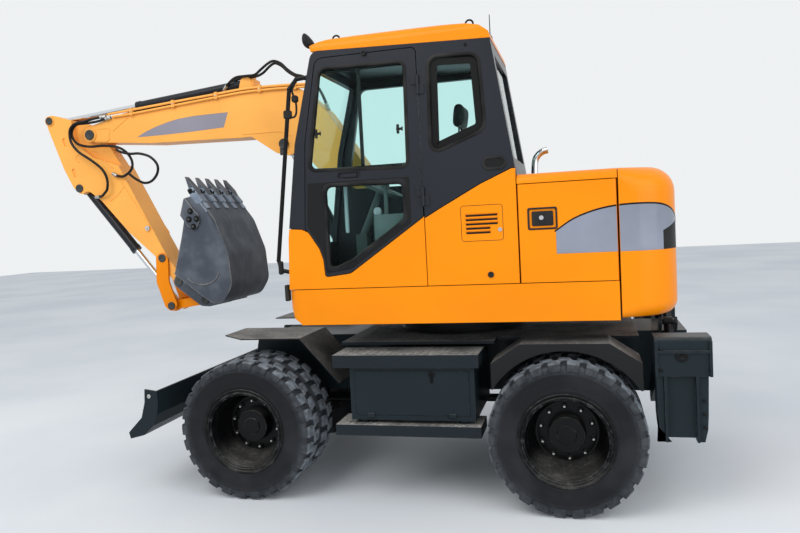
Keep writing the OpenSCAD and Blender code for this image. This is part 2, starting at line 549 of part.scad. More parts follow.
module seat() color([0.1, 0.1, 0.1]) on() translate([120, (cab_y0 + upper_hw) / 2, fl_z]) {
    bx([-160, -170, 0], [200, 170, 280]);
    xz(fil([[-220, 260], [280, 280], [290, 380], [-220, 360]], 40), -seat_hw, seat_hw);
    xz(fil([[-240, 330], [-120, 330], [-190, 960], [-300, 950]], 40), -230, 230);
    xz(fil([[-290, 975], [-210, 980], [-230, 1160], [-310, 1150]], 30), -130, 130);
    bx([-275, -30, 900], [-235, 30, 995]);
}
module controls() color([0.08, 0.08, 0.08]) on() translate([0, (cab_y0 + upper_hw) / 2, fl_z]) {
    for (s = [-1, 1]) {
        bx([-80, s < 0 ? -pod[1] : pod[0], 0], [400, s < 0 ? -pod[0] : pod[1], 430]);
        translate([330, s * (pod[0] + pod[1]) / 2, 429]) cylinder(r = 14, h = 180);
        translate([330, s * (pod[0] + pod[1]) / 2, 600]) cylinder(r = 28, h = 70);
    }
    bx([560, -60, 0], [640, 60, 300]);
    translate([600, 0, 290]) rotate([0, -25, 0]) cylinder(r = 28, h = 360);
    translate([600, 0, 290]) rotate([0, -25, 0]) translate([0, 0, 340]) difference() {
        cylinder(r = 190, h = 26);
        for (a = [30, 150, 270]) rotate([0, 0, a]) translate([100, 0, -1]) cylinder(r = 62, h = 40);
    }
}
module exhaust() color("silver") on() translate([-600, 120, hood_z]) {
    cylinder(r = 34, h = 16);
    cylinder(r = 24, h = 110);
    translate([0, 0, 110]) sphere(r = 24);
    translate([0, 0, 110]) rotate([0, -50, 0]) cylinder(r = 24, h = 135);
}
module rail(a, b, r) translate(a) rotate([0, atan2(norm([b[0] - a[0], b[1] - a[1]]), b[2] - a[2]),
    atan2(b[1] - a[1], b[0] - a[0])]) cylinder(r = r, h = norm(b - a));
rail_pts = [[at_z(2860) - 20, upper_hw - 40, 2860], [at_z(2860) + 85, upper_hw - 30, 2850],
    [at_z(2860) + 135, upper_hw - 20, 2790], [1075, upper_hw - 20, 1660], [1060, upper_hw - 30, 1590],
    [at_z(1570) - 20, upper_hw - 40, 1570]];
module grab_rail() color(c_black) on() difference() {
    union() {
        for (i = [0:len(rail_pts) - 2]) rail(rail_pts[i], rail_pts[i + 1], 14);
        for (i = [1:len(rail_pts) - 2]) translate(rail_pts[i]) sphere(r = 15);
    }
    xz(cab_side, cab_y0, upper_hw);
}

// Boom outline [x, z] between its pins
boom_out = fil([[foot[0] - 80, foot[1] + 40], [foot[0] - 30, foot[1] - 80], [foot[0] + 80, foot[1] - 40],
    [sx + 960, 2137], [sx + 1385, 2644], [sx + 1784, 2640], [sx + 2627, 2662], [tip[0] - 60, tip[1] - 70],
    [tip[0] + 70, tip[1] - 40], [tip[0] + 60, tip[1] + 60], [sx + 2895, 2935], [sx + 2695, 2966],
    [sx + 1290, 3034], [sx + 1040, 2800]],
    [60, 60, 60, 200, 60, 0, 200, 50, 60, 60, 60, 80, 260, 300]);
arm_cb = [sx + 1737, 3098];
arm_top = [sx + 3640, 2934];
buck_cb = [sx + 3386, 2322];
p1 = [sx + 2597, 1673];
p2 = [sx + 2539, 1258];
p3 = [sx + 2200, 1305];
p4 = [sx + 2439, 1469];
module boom() color(c_orange) difference() {
    union() {
        xz(boom_out, by - bhw, by + bhw);
        for (s = [-1, 1]) translate([0, by + s * (bhw - 12), 0]) xz(fil([[bend_pin[0] - 250, bend_pin[1] - 40],
            [bend_pin[0] - 40, bend_pin[1] - 95], [bend_pin[0] + 70, bend_pin[1] - 70], [bend_pin[0] + 300, 2650],
            [bend_pin[0], 2700]], [0, 60, 60, 0, 0]), -12, 12);
        for (s = [-1, 1]) translate([0, by + s * 58, 0]) xz(fil([[arm_cb[0] - 84, 2990], [arm_cb[0] + 84, 2980],
            [arm_cb[0] + 38, arm_cb[1] + 34], [arm_cb[0] - 38, arm_cb[1] + 36]], [0, 0, 30, 30]), -12, 12);
        for (s = [-1, 1]) cy([tip[0], by + s * (bhw + 3), tip[1]], 60, 12);
        cy([arm_cb[0], by, arm_cb[1]], 28, 140);
        cy([foot[0], by, foot[1]], 85, 2 * brk - 10);
        for (s = [-1, 1]) cy([bend_pin[0], by + s * 84, bend_pin[1]], pin_r, 72);
    }
    for (p = [foot, tip]) cy([p[0], by, p[1]], pin_r + pin_c, 600);
    // Fork for the arm's head
    translate([0, by - 62, 0]) xz([[tip[0] - 205, 2500], [tip[0] + 300, 2500], [tip[0] + 300, 3200],
        [tip[0] - 205, 3200]], 0, 124);
    // Room for the rod's eye between the plates
    cy([bend_pin[0], by, bend_pin[1]], 96, 96);
}
arm_out = fil([[p4[0] - 75, p4[1] - 30], [p4[0] + 20, p4[1] - 75], [p1[0] + 80, 1690], [sx + 2914, 1906],
    [sx + 3172, 2201], [sx + 3300, 2300], [buck_cb[0] - 10, buck_cb[1] - 58], [buck_cb[0] + 62, buck_cb[1] + 10],
    [sx + 3530, 2496], [sx + 3663, 2862], [arm_top[0] + 50, arm_top[1] + 60], [arm_top[0] - 60, arm_top[1] + 40],
    [tip[0] - 55, tip[1] + 64], [tip[0] - 88, tip[1] - 20], [sx + 2979, 2500], [sx + 2674, 1903],
    [p1[0] - 55, 1650]],
    [47, 47, 200, 0, 200, 60, 40, 50, 200, 80, 50, 50, 60, 60, 200, 0, 200]);
module arm() color(c_orange) difference() {
    union() {
        difference() {
            xz(arm_out, by - bhw, by + bhw);
            // The head is narrow between the boom's fork, with a slot for each cylinder's eye
            for (s = [-1, 1]) translate([0, by + s * (bhw + 2), 0]) mirror([0, s < 0 ? 1 : 0, 0])
                xz([[tip[0] - 400, tip[1] - 330], [tip[0] - 10, tip[1] - 200], [tip[0] + 185, tip[1] - 40],
                    [tip[0] + 185, tip[1] + 400], [tip[0] - 400, tip[1] + 400]], -56, 10);
            translate([0, by, 0]) xz([[tip[0] + 60, tip[1] + 62], [arm_top[0] - 80, arm_top[1] - 150],
                [arm_top[0] + 200, arm_top[1] - 150], [arm_top[0] + 200, arm_top[1] + 200],
                [tip[0] - 100, arm_top[1] + 200], [tip[0] - 100, tip[1] + 62]], -40, 40);
            translate([0, by, 0]) xz([[buck_cb[0] - 70, buck_cb[1] + 66], [buck_cb[0] - 240, buck_cb[1] - 80],
                [buck_cb[0] - 240, buck_cb[1] - 400], [buck_cb[0] + 200, buck_cb[1] - 400],
                [buck_cb[0] + 200, buck_cb[1] + 66]], -48, 48);
        }
        cy([buck_cb[0], by, buck_cb[1]], 28, boom_w - 20);
        for (s = [-1, 1]) cy([arm_top[0], by + s * 76, arm_top[1]], 28, 68);
        for (s = [-1, 1]) cy([arm_top[0], by + s * (bhw + 3), arm_top[1]], 44, 10);
        cy([tip[0], by, tip[1]], pin_r, boom_w + 20);
    }
    cy([p4[0], by, p4[1]], pin_r + pin_c, 600);
    cy([p1[0], by, p1[1]], 25 + pin_c, 600);
    // Shallow slots beside the arm's head
    for (q = arm_slots, s = [-1, 1]) translate([0, by + s * (bhw - 3), 0])
        in_xz(q[0], q[1], 0) {
            translate([0, -6, -15]) cube([norm(q[1] - q[0]), 12, 30]);
            rotate([90, 0, 0]) cylinder(r = 15, h = 12, center = true);
            translate([norm(q[1] - q[0]), 0, 0]) rotate([90, 0, 0]) cylinder(r = 15, h = 12, center = true);
        }
}
arm_slots = [[[sx + 3493, 2712], [sx + 3510, 2760]], [[sx + 3420, 2437], [sx + 3437, 2485]]];

// Linkage at the arm's foot
bo = bhw + 14;
module rocker() color(c_orange) {
    for (s = [-1, 1]) translate([0, by + s * bo, 0]) xz(fil([[p1[0] + 10, p1[1] + 55], [p1[0] - 55, p1[1] + 5],
        [p2[0] + 10, (p1[1] + p2[1]) / 2], [p2[0] - 58, p2[1] + 10], [p2[0] - 10, p2[1] - 60],
        [p2[0] + 60, p2[1] - 10], [p2[0] + 130, (p1[1] + p2[1]) / 2], [p1[0] + 60, p1[1] + 10]],
        [40, 40, 0, 40, 40, 40, 60, 40]), -9, 9);
    cy([p1[0], by, p1[1]], 25, 2 * bo);
    for (s = [-1, 1]) cy([p2[0], by + s * 103, p2[1]], 25, 36);
}
module bucket_link() color(c_orange) difference() {
    union() {
        for (s = [-1, 1]) in_xz(p2, p3, by + s * 66) {
            translate([0, 0, -38]) translate([0, -14, 0]) cube([norm(p3 - p2), 28, 76]);
            rotate([90, 0, 0]) cylinder(r = 52, h = 28, center = true);
            translate([norm(p3 - p2), 0, 0]) rotate([90, 0, 0]) cylinder(r = 52, h = 28, center = true);
        }
        cy([(p2[0] + p3[0]) / 2, by, (p2[1] + p3[1]) / 2], 24, 140);
    }
    cy([p2[0], by, p2[1]], 25 + pin_c, 300);
    cy([p3[0], by, p3[1]], 25 + pin_c, 300);
}
// Bucket: shell section [x, z] from the lip round the back to the hinge plate
shell = fil([[sx + 2120, 2180], [sx + 1960, 1960], [sx + 1868, 1700], [sx + 1850, 1440], [sx + 1960, 1270],
    [sx + 2120, 1385], [sx + 2345, 1560]], [0, 200, 200, 130, 90, 0, 0], 6);
shell_in = off(shell, -shell_t);
module bucket() color([0.3, 0.31, 0.33]) difference() {
    union() {
        xz(concat(shell, rev(shell_in)), by - bucket_w / 2, by + bucket_w / 2);
        for (s = [-1, 1]) translate([0, by + s * (bucket_w / 2 - 10), 0]) xz(concat(shell, [[sx + 2262, 1840],
            [sx + 2225, 1990], [sx + 2215, 2160]]), -10, 10);
        for (s = [-1, 1]) translate([0, by + s * 140, 0]) xz(fil([[sx + 1960, 1285], [p3[0] - 40, p3[1] - 58],
            [p3[0] + 40, p3[1] - 52], [p4[0] + 62, p4[1] - 20], [p4[0] + 20, p4[1] + 62], [sx + 2340, 1560],
            [sx + 2120, 1390]], [0, 50, 60, 50, 50, 0, 0]), -13, 13);
        cy([p3[0], by, p3[1]], 25, 306);
        cy([p4[0], by, p4[1]], pin_r, 306);
        for (i = [0:tooth_count - 1]) translate([0, by + (i / (tooth_count - 1) - 0.5) * (bucket_w - 70), 0])
            xz([[sx + 2065, 2150], [sx + 2100, 2120], [sx + 2150, 2180], [sx + 2195, 2335], [sx + 2110, 2240]],
                -32, 32);
    }
}
boom_len = norm(bend_pin - boom_cb);
arm_len = norm(arm_top - arm_cb);
buck_len = norm(p2 - buck_cb);
module boom_barrel() color(c_char) in_xz(boom_cb, bend_pin, by) barrel(barrel_r, rod_r, 900, pin_r, 84);
module boom_rod() color("silver") in_xz(boom_cb, bend_pin, by) rod(barrel_r, rod_r, 900, boom_len, pin_r, 84, 460);
module arm_barrel() color(c_char) in_xz(arm_cb, arm_top, by) barrel(barrel_r - 12, rod_r - 6, 1080, 28, 70);
module arm_rod() color("silver") in_xz(arm_cb, arm_top, by)
    rod(barrel_r - 12, rod_r - 6, 1080, arm_len, 28, 70, 960);
module bucket_barrel() color(c_char) in_xz(buck_cb, p2, by) barrel(barrel_r - 8, rod_r - 4, 735, 28, 70);
module bucket_rod() color("silver") in_xz(buck_cb, p2, by)
    rod(barrel_r - 8, rod_r - 4, 735, buck_len, 25, 70, 669);

chassis_frame();
deck();
tool_boxes();
steps();
fenders();
axle_front();
axle_rear();
driveline();
knuckle_left();
knuckle_right();
wheels_front_left();
wheels_front_right();
wheels_rear_left();
wheels_rear_right();
tyres_front_left();
tyres_front_right();
tyres_rear_left();
tyres_rear_right();
blade();
blade_barrel();
blade_rod();
outrigger_left();
outrigger_right();
outrigger_barrel_left();
outrigger_barrel_right();
outrigger_rod_left();
outrigger_rod_right();
upper_frame();
side_skirts();
counterweight();
hood();
engine();
engine_door();
service_panel();
right_tank();
cab_shell();
cab_sill();
cab_roof();
cab_glass();
cab_door();
door_glass();
seat();
controls();
exhaust();
grab_rail();
boom();
arm();
bucket();
rocker();
bucket_link();
boom_barrel();
boom_rod();
arm_barrel();
arm_rod();
bucket_barrel();
bucket_rod();
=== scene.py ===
# %% [markdown]
# Wheeled excavator, dressed in cells
#
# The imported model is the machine's skeleton: every plate, pin and joint is already at its place. This lesson
# loads it, puts a camera where the photographer stood, gives each plate its paint, and then adds what gives a
# used machine its look: cut tyre lugs, wheel nuts, hoses, louvres, latches, seat and levers.

import json
import math

import bpy
import numpy as np
from mathutils import Matrix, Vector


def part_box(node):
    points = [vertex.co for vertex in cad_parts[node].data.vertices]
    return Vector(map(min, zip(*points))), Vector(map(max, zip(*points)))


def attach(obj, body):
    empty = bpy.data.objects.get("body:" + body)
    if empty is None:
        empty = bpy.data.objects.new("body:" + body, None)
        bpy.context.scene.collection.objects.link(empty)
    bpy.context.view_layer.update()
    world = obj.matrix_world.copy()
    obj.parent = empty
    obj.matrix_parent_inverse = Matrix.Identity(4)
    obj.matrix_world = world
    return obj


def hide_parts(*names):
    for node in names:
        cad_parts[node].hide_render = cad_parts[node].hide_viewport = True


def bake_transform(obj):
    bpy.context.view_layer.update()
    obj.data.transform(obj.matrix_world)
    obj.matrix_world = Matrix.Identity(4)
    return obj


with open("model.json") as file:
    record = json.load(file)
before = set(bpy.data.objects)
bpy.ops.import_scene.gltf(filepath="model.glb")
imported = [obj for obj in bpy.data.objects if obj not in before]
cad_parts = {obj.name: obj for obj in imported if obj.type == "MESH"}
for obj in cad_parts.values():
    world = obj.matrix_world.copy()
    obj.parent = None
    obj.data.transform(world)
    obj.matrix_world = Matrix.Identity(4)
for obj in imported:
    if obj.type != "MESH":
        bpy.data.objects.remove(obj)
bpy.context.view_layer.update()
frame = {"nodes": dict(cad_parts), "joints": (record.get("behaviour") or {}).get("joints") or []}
nodes = frame["nodes"]
joint_at = {j["name"]: np.array(j["pos_m"]) for j in frame["joints"] if "pos_m" in j}
slew_x = joint_at["slew"][0]
boom_y = joint_at["boom_raise"][1]
upper_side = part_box("side_skirts")[1].y
print("nodes", len(nodes), "slew centre at x =", round(slew_x, 3))

# %% [markdown]
# The camera
#
# A photograph fixes its own camera: from the wheels, the deck's edge and the cab's corners, seven numbers can
# be solved, which are the place, three turns and the focal length. The focal length comes in pixels of an
# image 800 wide, and Blender wants millimetres on a 36 mm sensor, so it is scaled by the ratio of the two.

# %% The camera
image_w = 800
sensor_mm = 36.0
focal_px = 710.536
camera_place = np.array([-1.9524, 5.3984, 1.8794])
heading, tilt, roll = 0.256748, -0.0633419, -0.0535014

forward = np.array([math.sin(heading) * math.cos(tilt), -math.cos(heading) * math.cos(tilt), math.sin(tilt)])
level = np.cross(forward, [0, 0, 1])
level /= np.linalg.norm(level)
upright = np.cross(level, forward)
right = math.cos(roll) * level + math.sin(roll) * upright
up = -math.sin(roll) * level + math.cos(roll) * upright

camera_data = bpy.data.cameras.new("photo_camera")
camera_data.sensor_width = sensor_mm
camera_data.lens = focal_px * sensor_mm / image_w
camera = bpy.data.objects.new("photo_camera", camera_data)
pose = np.eye(4)
pose[:3, 0], pose[:3, 1], pose[:3, 2], pose[:3, 3] = right, up, -forward, camera_place
camera.matrix_world = Matrix(pose.tolist())
bpy.context.scene.collection.objects.link(camera)
bpy.context.scene.camera = camera
print("lens", round(camera_data.lens, 2), "mm")

# %% [markdown]
# Floor, lamps and sky
#
# The yard in the photograph is pale concrete under a bright overcast sky: light comes from everywhere, with a
# soft key from the upper left. One large soft lamp and a pale world do the same. The background's whiteness
# comes from a Light Path switch in the world, so no lamp has to be turned up for it.

# %% Floor, lamps and sky
scene = bpy.context.scene
scene.view_settings.view_transform = "Standard"
floor_reach = 30.0
floor_mesh = bpy.data.meshes.new("floor")
floor_mesh.from_pydata(
    [(-floor_reach, -floor_reach, 0), (floor_reach, -floor_reach, 0), (floor_reach, floor_reach, 0),
     (-floor_reach, floor_reach, 0)], [], [(0, 1, 2, 3)])
floor = bpy.data.objects.new("floor", floor_mesh)
scene.collection.objects.link(floor)

world = bpy.data.worlds.new("pale_sky")
scene.world = world
world.use_nodes = True
sky = world.node_tree
sky.nodes.clear()
light_path = sky.nodes.new("ShaderNodeLightPath")
lit = sky.nodes.new("ShaderNodeBackground")
lit.inputs["Color"].default_value = (0.93, 0.96, 1.0, 1)
lit.inputs["Strength"].default_value = 0.82
backdrop = sky.nodes.new("ShaderNodeBackground")
backdrop.inputs["Color"].default_value = (0.86, 0.88, 0.89, 1)
backdrop.inputs["Strength"].default_value = 1.0
either = sky.nodes.new("ShaderNodeMixShader")
sky_out = sky.nodes.new("ShaderNodeOutputWorld")
shown = sky.nodes.new("ShaderNodeMath")
shown.operation = "ADD"
sky.links.new(light_path.outputs["Is Glossy Ray"], shown.inputs[0])
sky.links.new(light_path.outputs["Is Transmission Ray"], shown.inputs[1])
pale = sky.nodes.new("ShaderNodeMath")
pale.operation, pale.use_clamp = "ADD", True
sky.links.new(light_path.outputs["Is Camera Ray"], pale.inputs[0])
sky.links.new(shown.outputs[0], pale.inputs[1])
sky.links.new(pale.outputs[0], either.inputs["Fac"])
sky.links.new(lit.outputs["Background"], either.inputs[1])
sky.links.new(backdrop.outputs["Background"], either.inputs[2])
sky.links.new(either.outputs["Shader"], sky_out.inputs["Surface"])


def soft_lamp(name, place, target, size, watts, colour):
    """A square area lamp at place that looks at target; larger is softer."""
    data = bpy.data.lights.new(name, "AREA")
    data.size, data.energy, data.color = size, watts, colour
    lamp = bpy.data.objects.new(name, data)
    lamp.location = place
    aim = np.array(target, float) - np.array(place, float)
    aim /= np.linalg.norm(aim)
    side = np.cross(aim, [0, 0, 1.0])
    side /= np.linalg.norm(side)
    top = np.cross(side, aim)
    turn = np.eye(4)
    turn[:3, 0], turn[:3, 1], turn[:3, 2], turn[:3, 3] = side, top, -aim, place
    lamp.matrix_world = Matrix(turn.tolist())
    scene.collection.objects.link(lamp)


soft_lamp("key", (3.0, 7.5, 8.5), (-0.5, 0.3, 1.3), 7.0, 560, (1.0, 0.98, 0.95))
soft_lamp("fill", (-7.0, 6.0, 4.5), (-1.0, 0, 1.2), 7.0, 300, (0.95, 0.97, 1.0))

# %% [markdown]
# Surfaces from numpy
#
# Almost every added piece is one of two things: a grid of points that two parameters run over, or a profile
# carried along a path. Both are worked out as whole arrays. `grid_faces` then numbers the quads of such a grid,
# and closes it round where a parameter comes back to its start.

# %% Grids of points become pieces
def grid_faces(rows, columns, closed_rows=False, closed_columns=False):
    """Quads between neighbouring points of a rows by columns grid, numbered row by row."""
    r = np.arange(rows if closed_rows else rows - 1)
    c = np.arange(columns if closed_columns else columns - 1)
    r, c = np.meshgrid(r, c, indexing="ij")
    r2, c2 = (r + 1) % rows, (c + 1) % columns
    quads = np.stack([r * columns + c, r * columns + c2, r2 * columns + c2, r2 * columns + c], axis=-1)
    return quads.reshape(-1, 4)


def tube_faces(rows, columns):
    """Faces of rows rings of columns points each, one after the other, with a flat cap on both ends."""
    last = (rows - 1) * columns
    faces = [list(f) for f in grid_faces(rows, columns, False, True)]
    return faces + [list(range(columns))[::-1], list(range(last, last + columns))]


def add_piece(name, points, faces, finish, body, sharp_angle=35.0):
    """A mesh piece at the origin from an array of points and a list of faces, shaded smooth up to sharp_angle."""
    mesh = bpy.data.meshes.new(name)
    mesh.from_pydata(np.asarray(points, float).reshape(-1, 3).tolist(), [], [list(map(int, f)) for f in faces])
    mesh.materials.append(finish)
    mesh.polygons.foreach_set("use_smooth", np.ones(len(mesh.polygons), bool))
    mesh.update()
    mesh.set_sharp_from_angle(angle=math.radians(sharp_angle))
    piece = bpy.data.objects.new(name, mesh)
    scene.collection.objects.link(piece)
    if body:
        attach(piece, body)
    return piece


def joined(parts):
    """Several (points, faces) pairs as one pair, the faces renumbered."""
    points, faces, start = [], [], 0
    for some_points, some_faces in parts:
        some_points = np.asarray(some_points, float).reshape(-1, 3)
        points.append(some_points)
        faces.extend([[start + int(i) for i in face] for face in some_faces])
        start += len(some_points)
    return np.vstack(points), faces


def add_parts(name, parts, finish, body, sharp_angle):
    """Several (points, faces) pairs as one piece with that finish."""
    return add_piece(name, *joined(parts), finish.material, body, sharp_angle)


def outward(points, faces):
    """The same closed surface with its faces pointing out: its signed volume, summed over fans, is made
    positive."""
    points = np.asarray(points, float)
    fans = [(f[0], f[i], f[i + 1]) for f in faces for i in range(1, len(f) - 1)]
    a, b, c = (points[[t[i] for t in fans]] for i in range(3))
    volume = np.einsum("ij,ij->i", a - points.mean(0), np.cross(b - points.mean(0), c - points.mean(0))).sum()
    return points, [list(f)[::-1] for f in faces] if volume < 0 else [list(f) for f in faces]


def turned(profile, centre, axis, steps=64, spin=0.0, closed=True):
    """A profile of (radius, along) pairs turned round an axis through centre. An open one gets a flat cap at
    both ends, where it comes near the axis."""
    profile = np.asarray(profile, float)
    axis = np.asarray(axis, float) / np.linalg.norm(axis)
    helper = np.array([0, 0, 1.0]) if abs(axis[2]) < 0.9 else np.array([1.0, 0, 0])
    across = np.cross(helper, axis)
    across /= np.linalg.norm(across)
    other = np.cross(axis, across)
    angle = spin + np.arange(steps) * 2 * math.pi / steps
    ring = np.cos(angle)[:, None] * across + np.sin(angle)[:, None] * other
    points = np.asarray(centre, float) + ring[:, None, :] * profile[None, :, :1] + axis * profile[None, :, 1:]
    faces = [list(f) for f in grid_faces(steps, len(profile), True, closed)]
    if not closed:
        faces.append([i * len(profile) for i in range(steps)])
        faces.append([i * len(profile) + len(profile) - 1 for i in range(steps)][::-1])
    return points.reshape(-1, 3), faces


def smooth_path(corners, count):
    """Count points on a Catmull-Rom curve through the corners, spread evenly by chord length."""
    corners = np.asarray(corners, float)
    padded = np.vstack([2 * corners[0] - corners[1], corners, 2 * corners[-1] - corners[-2]])
    chord = np.r_[0, np.cumsum(np.linalg.norm(np.diff(corners, axis=0), axis=1))]
    place = np.interp(np.linspace(0, chord[-1], count), chord, np.arange(len(corners)))
    k = np.minimum(place.astype(int), len(corners) - 2)
    t = (place - k)[:, None]
    a, b, c, d = padded[k], padded[k + 1], padded[k + 2], padded[k + 3]
    return 0.5 * (2 * b + (c - a) * t + (2 * a - 5 * b + 4 * c - d) * t**2 + (3 * b - a - 3 * c + d) * t**3)


def swept(path, section):
    """A flat section of (side, up) pairs carried along a path, twisted as little as the bends allow."""
    path, section = np.asarray(path, float), np.asarray(section, float)
    ahead = np.gradient(path, axis=0)
    ahead /= np.linalg.norm(ahead, axis=1)[:, None]
    side = np.cross(ahead[0], [0, 0, 1.0] if abs(ahead[0][2]) < 0.9 else [0, 1.0, 0])
    sides = []
    for direction in ahead:
        side = side - direction * np.dot(side, direction)
        side /= np.linalg.norm(side)
        sides.append(side.copy())
    sides = np.array(sides)
    tops = np.cross(sides, ahead)
    return path[:, None, :] + sides[:, None, :] * section[None, :, :1] + tops[:, None, :] * section[None, :, 1:]


def tube(corners, radius, count=48, sides=12, straight=False):
    """A round tube along a curve through the corners, with flat ends."""
    path = np.asarray(corners, float) if straight else smooth_path(corners, count)
    angle = np.arange(sides) * 2 * math.pi / sides
    grid = swept(path, np.stack([radius * np.cos(angle), radius * np.sin(angle)], axis=1))
    return grid.reshape(-1, 3), tube_faces(len(path), sides)


def block(low, high, bevel=0.004):
    """A box between two corners with its twelve edges cut by bevel: three rings of points on each side."""
    low, high = np.asarray(low, float), np.asarray(high, float)
    bevel = min(bevel, *((high - low) / 2.2))
    corner = np.array([[i, j, k] for i in (0, 1) for j in (0, 1) for k in (0, 1)])
    sign = corner * 2 - 1
    base = np.where(corner == 1, high, low)
    points = np.stack([base - sign * bevel * (1 - np.eye(3)[a]) for a in range(3)], axis=1).reshape(-1, 3)
    number = {tuple(c): 3 * i for i, c in enumerate(corner.tolist())}
    faces = []
    for a in range(3):
        b, c = (a + 1) % 3, (a + 2) % 3
        for s in (0, 1):
            ring = []
            for q, w in ((0, 0), (1, 0), (1, 1), (0, 1)):
                key = [0, 0, 0]
                key[a], key[b], key[c] = s, q, w
                ring.append(number[tuple(key)] + a)
            faces.append(ring if s else ring[::-1])
    for a in range(3):
        b, c = (a + 1) % 3, (a + 2) % 3
        for q in (0, 1):
            for w in (0, 1):
                ends = []
                for s in (0, 1):
                    key = [0, 0, 0]
                    key[a], key[b], key[c] = s, q, w
                    ends.append(number[tuple(key)])
                edge = [ends[0] + b, ends[1] + b, ends[1] + c, ends[0] + c]
                faces.append(edge if q == w else edge[::-1])
    for key, start in number.items():
        odd = sum(key) % 2
        faces.append([start, start + 1, start + 2] if odd else [start + 2, start + 1, start])
    return points, faces

# %% [markdown]
# Finishes, wired by a small helper
#
# Every finish starts from the Principled shader. What makes paint look used is that nothing about it is even:
# its tone drifts over a metre, fine dust settles on whatever faces the sky and near the ground, and edges are
# rubbed brighter. `wire` adds one node and connects it in one line, so each recipe below reads from top to
# bottom. Colours are written as they look on a screen and turned into Blender's linear light by `lin`.


def lin(*screen):
    """Screen values 0 to 1 as linear light: the power 2.2 that a screen applies, undone."""
    return tuple(v / 12.92 if v <= 0.04045 else ((v + 0.055) / 1.055) ** 2.4 for v in screen) + (1.0,)


class Finish:
    """A Principled material and the tree that feeds it."""

    def __init__(self, name, slot, colour, roughness, metallic=0.0, coat=0.0, sheen=0.15):
        self.material = bpy.data.materials.new(name)
        self.material.use_nodes = True
        self.tree = self.material.node_tree
        self.shader = self.tree.nodes["Principled BSDF"]
        self.shader.inputs["Metallic"].default_value = metallic
        self.shader.inputs["Roughness"].default_value = roughness
        self.shader.inputs["Coat Weight"].default_value = coat
        self.shader.inputs["Specular IOR Level"].default_value = sheen
        self.shader.inputs["Base Color"].default_value = colour
        self.colour, self.roughness, self.height = colour, roughness, None
        self.place = self.wire("TexCoord").outputs["Object"]

    def wire(self, kind, inputs=(), **settings):
        """One node of that kind; inputs pairs a socket's name or number with a value or another socket."""
        node = self.tree.nodes.new("ShaderNode" + kind)
        for key, value in settings.items():
            setattr(node, key, value)
        for key, value in dict(inputs).items():
            if isinstance(value, bpy.types.NodeSocket):
                self.tree.links.new(value, node.inputs[key])
            else:
                node.inputs[key].default_value = value
        return node

    def calc(self, operation, a, b=0.0, clamp=False):
        return self.wire("Math", {0: a, 1: b}, operation=operation, use_clamp=clamp).outputs[0]

    def noise(self, scale, detail=3.0, stretch=None):
        place = self.place
        if stretch:
            place = self.wire("Mapping", {"Vector": place, "Scale": stretch}).outputs[0]
        return self.wire("TexNoise", {"Vector": place, "Scale": scale, "Detail": detail}).outputs["Fac"]

    def step(self, value, low, high, to_low=0.0, to_high=1.0):
        """value between low and high, carried smoothly to between to_low and to_high."""
        return self.wire("MapRange", {"Value": value, "From Min": low, "From Max": high, "To Min": to_low,
                                      "To Max": to_high}, interpolation_type="SMOOTHSTEP").outputs["Result"]

    def blend(self, share, first, second):
        mixer = self.wire("Mix", {"Factor": share}, data_type="RGBA")
        for socket, value in ((mixer.inputs[6], first), (mixer.inputs[7], second)):
            if isinstance(value, bpy.types.NodeSocket):
                self.tree.links.new(value, socket)
            else:
                socket.default_value = value
        return mixer.outputs[2]

    def paint(self, colour=None, roughness=None):
        for name, value in (("Base Color", colour), ("Roughness", roughness)):
            if isinstance(value, bpy.types.NodeSocket):
                self.tree.links.new(value, self.shader.inputs[name])
            elif value is not None:
                self.shader.inputs[name].default_value = value

    def relief(self, height, strength, distance, edge=0.0):
        """Bump from a height, over a normal that rounds the plate's edges by edge metres."""
        inputs = {"Height": height, "Strength": strength, "Distance": distance}
        if edge:
            inputs["Normal"] = self.wire("Bevel", {"Radius": edge}, samples=4).outputs["Normal"]
        bumped = self.wire("Bump", inputs).outputs["Normal"]
        self.tree.links.new(bumped, self.shader.inputs["Normal"])

    def sky_facing(self, low=0.35, high=0.95):
        facing = self.wire("SeparateXYZ", {0: self.wire("NewGeometry").outputs["Normal"]}).outputs["Z"]
        return self.step(facing, low, high)

    def low_down(self, low, high):
        """One near the ground, nothing above high: the height that splashes and dust reach."""
        height = self.wire("SeparateXYZ", {0: self.place}).outputs["Z"]
        return self.step(height, low, high, 1.0, 0.0)

    def worn_edge(self, radius):
        """Near one where the surface turns within radius: the true normal against a rounded one."""
        rounded = self.wire("Bevel", {"Radius": radius}, samples=4).outputs["Normal"]
        true = self.wire("NewGeometry").outputs["True Normal"]
        alike = self.wire("VectorMath", {0: rounded, 1: true}, operation="DOT_PRODUCT").outputs["Value"]
        return self.step(alike, 0.995, 0.85, 0.0, 1.0)


def dress(finish, *names):
    """Gives CAD nodes a finish through their object's own slots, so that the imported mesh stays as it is."""
    for name in names:
        for place in nodes[name].material_slots:
            place.link = "OBJECT"
            place.material = finish.material

# %% [markdown]
# Enamel
#
# Spray enamel on plate steel has a fine orange-peel relief and a soft gloss. The same recipe gives the orange,
# slate and charcoal coats. They differ in colour, in how much dust they carry and in what shows at a rubbed
# edge.

# %% Enamel
dust_tone = lin(0.66, 0.65, 0.63)


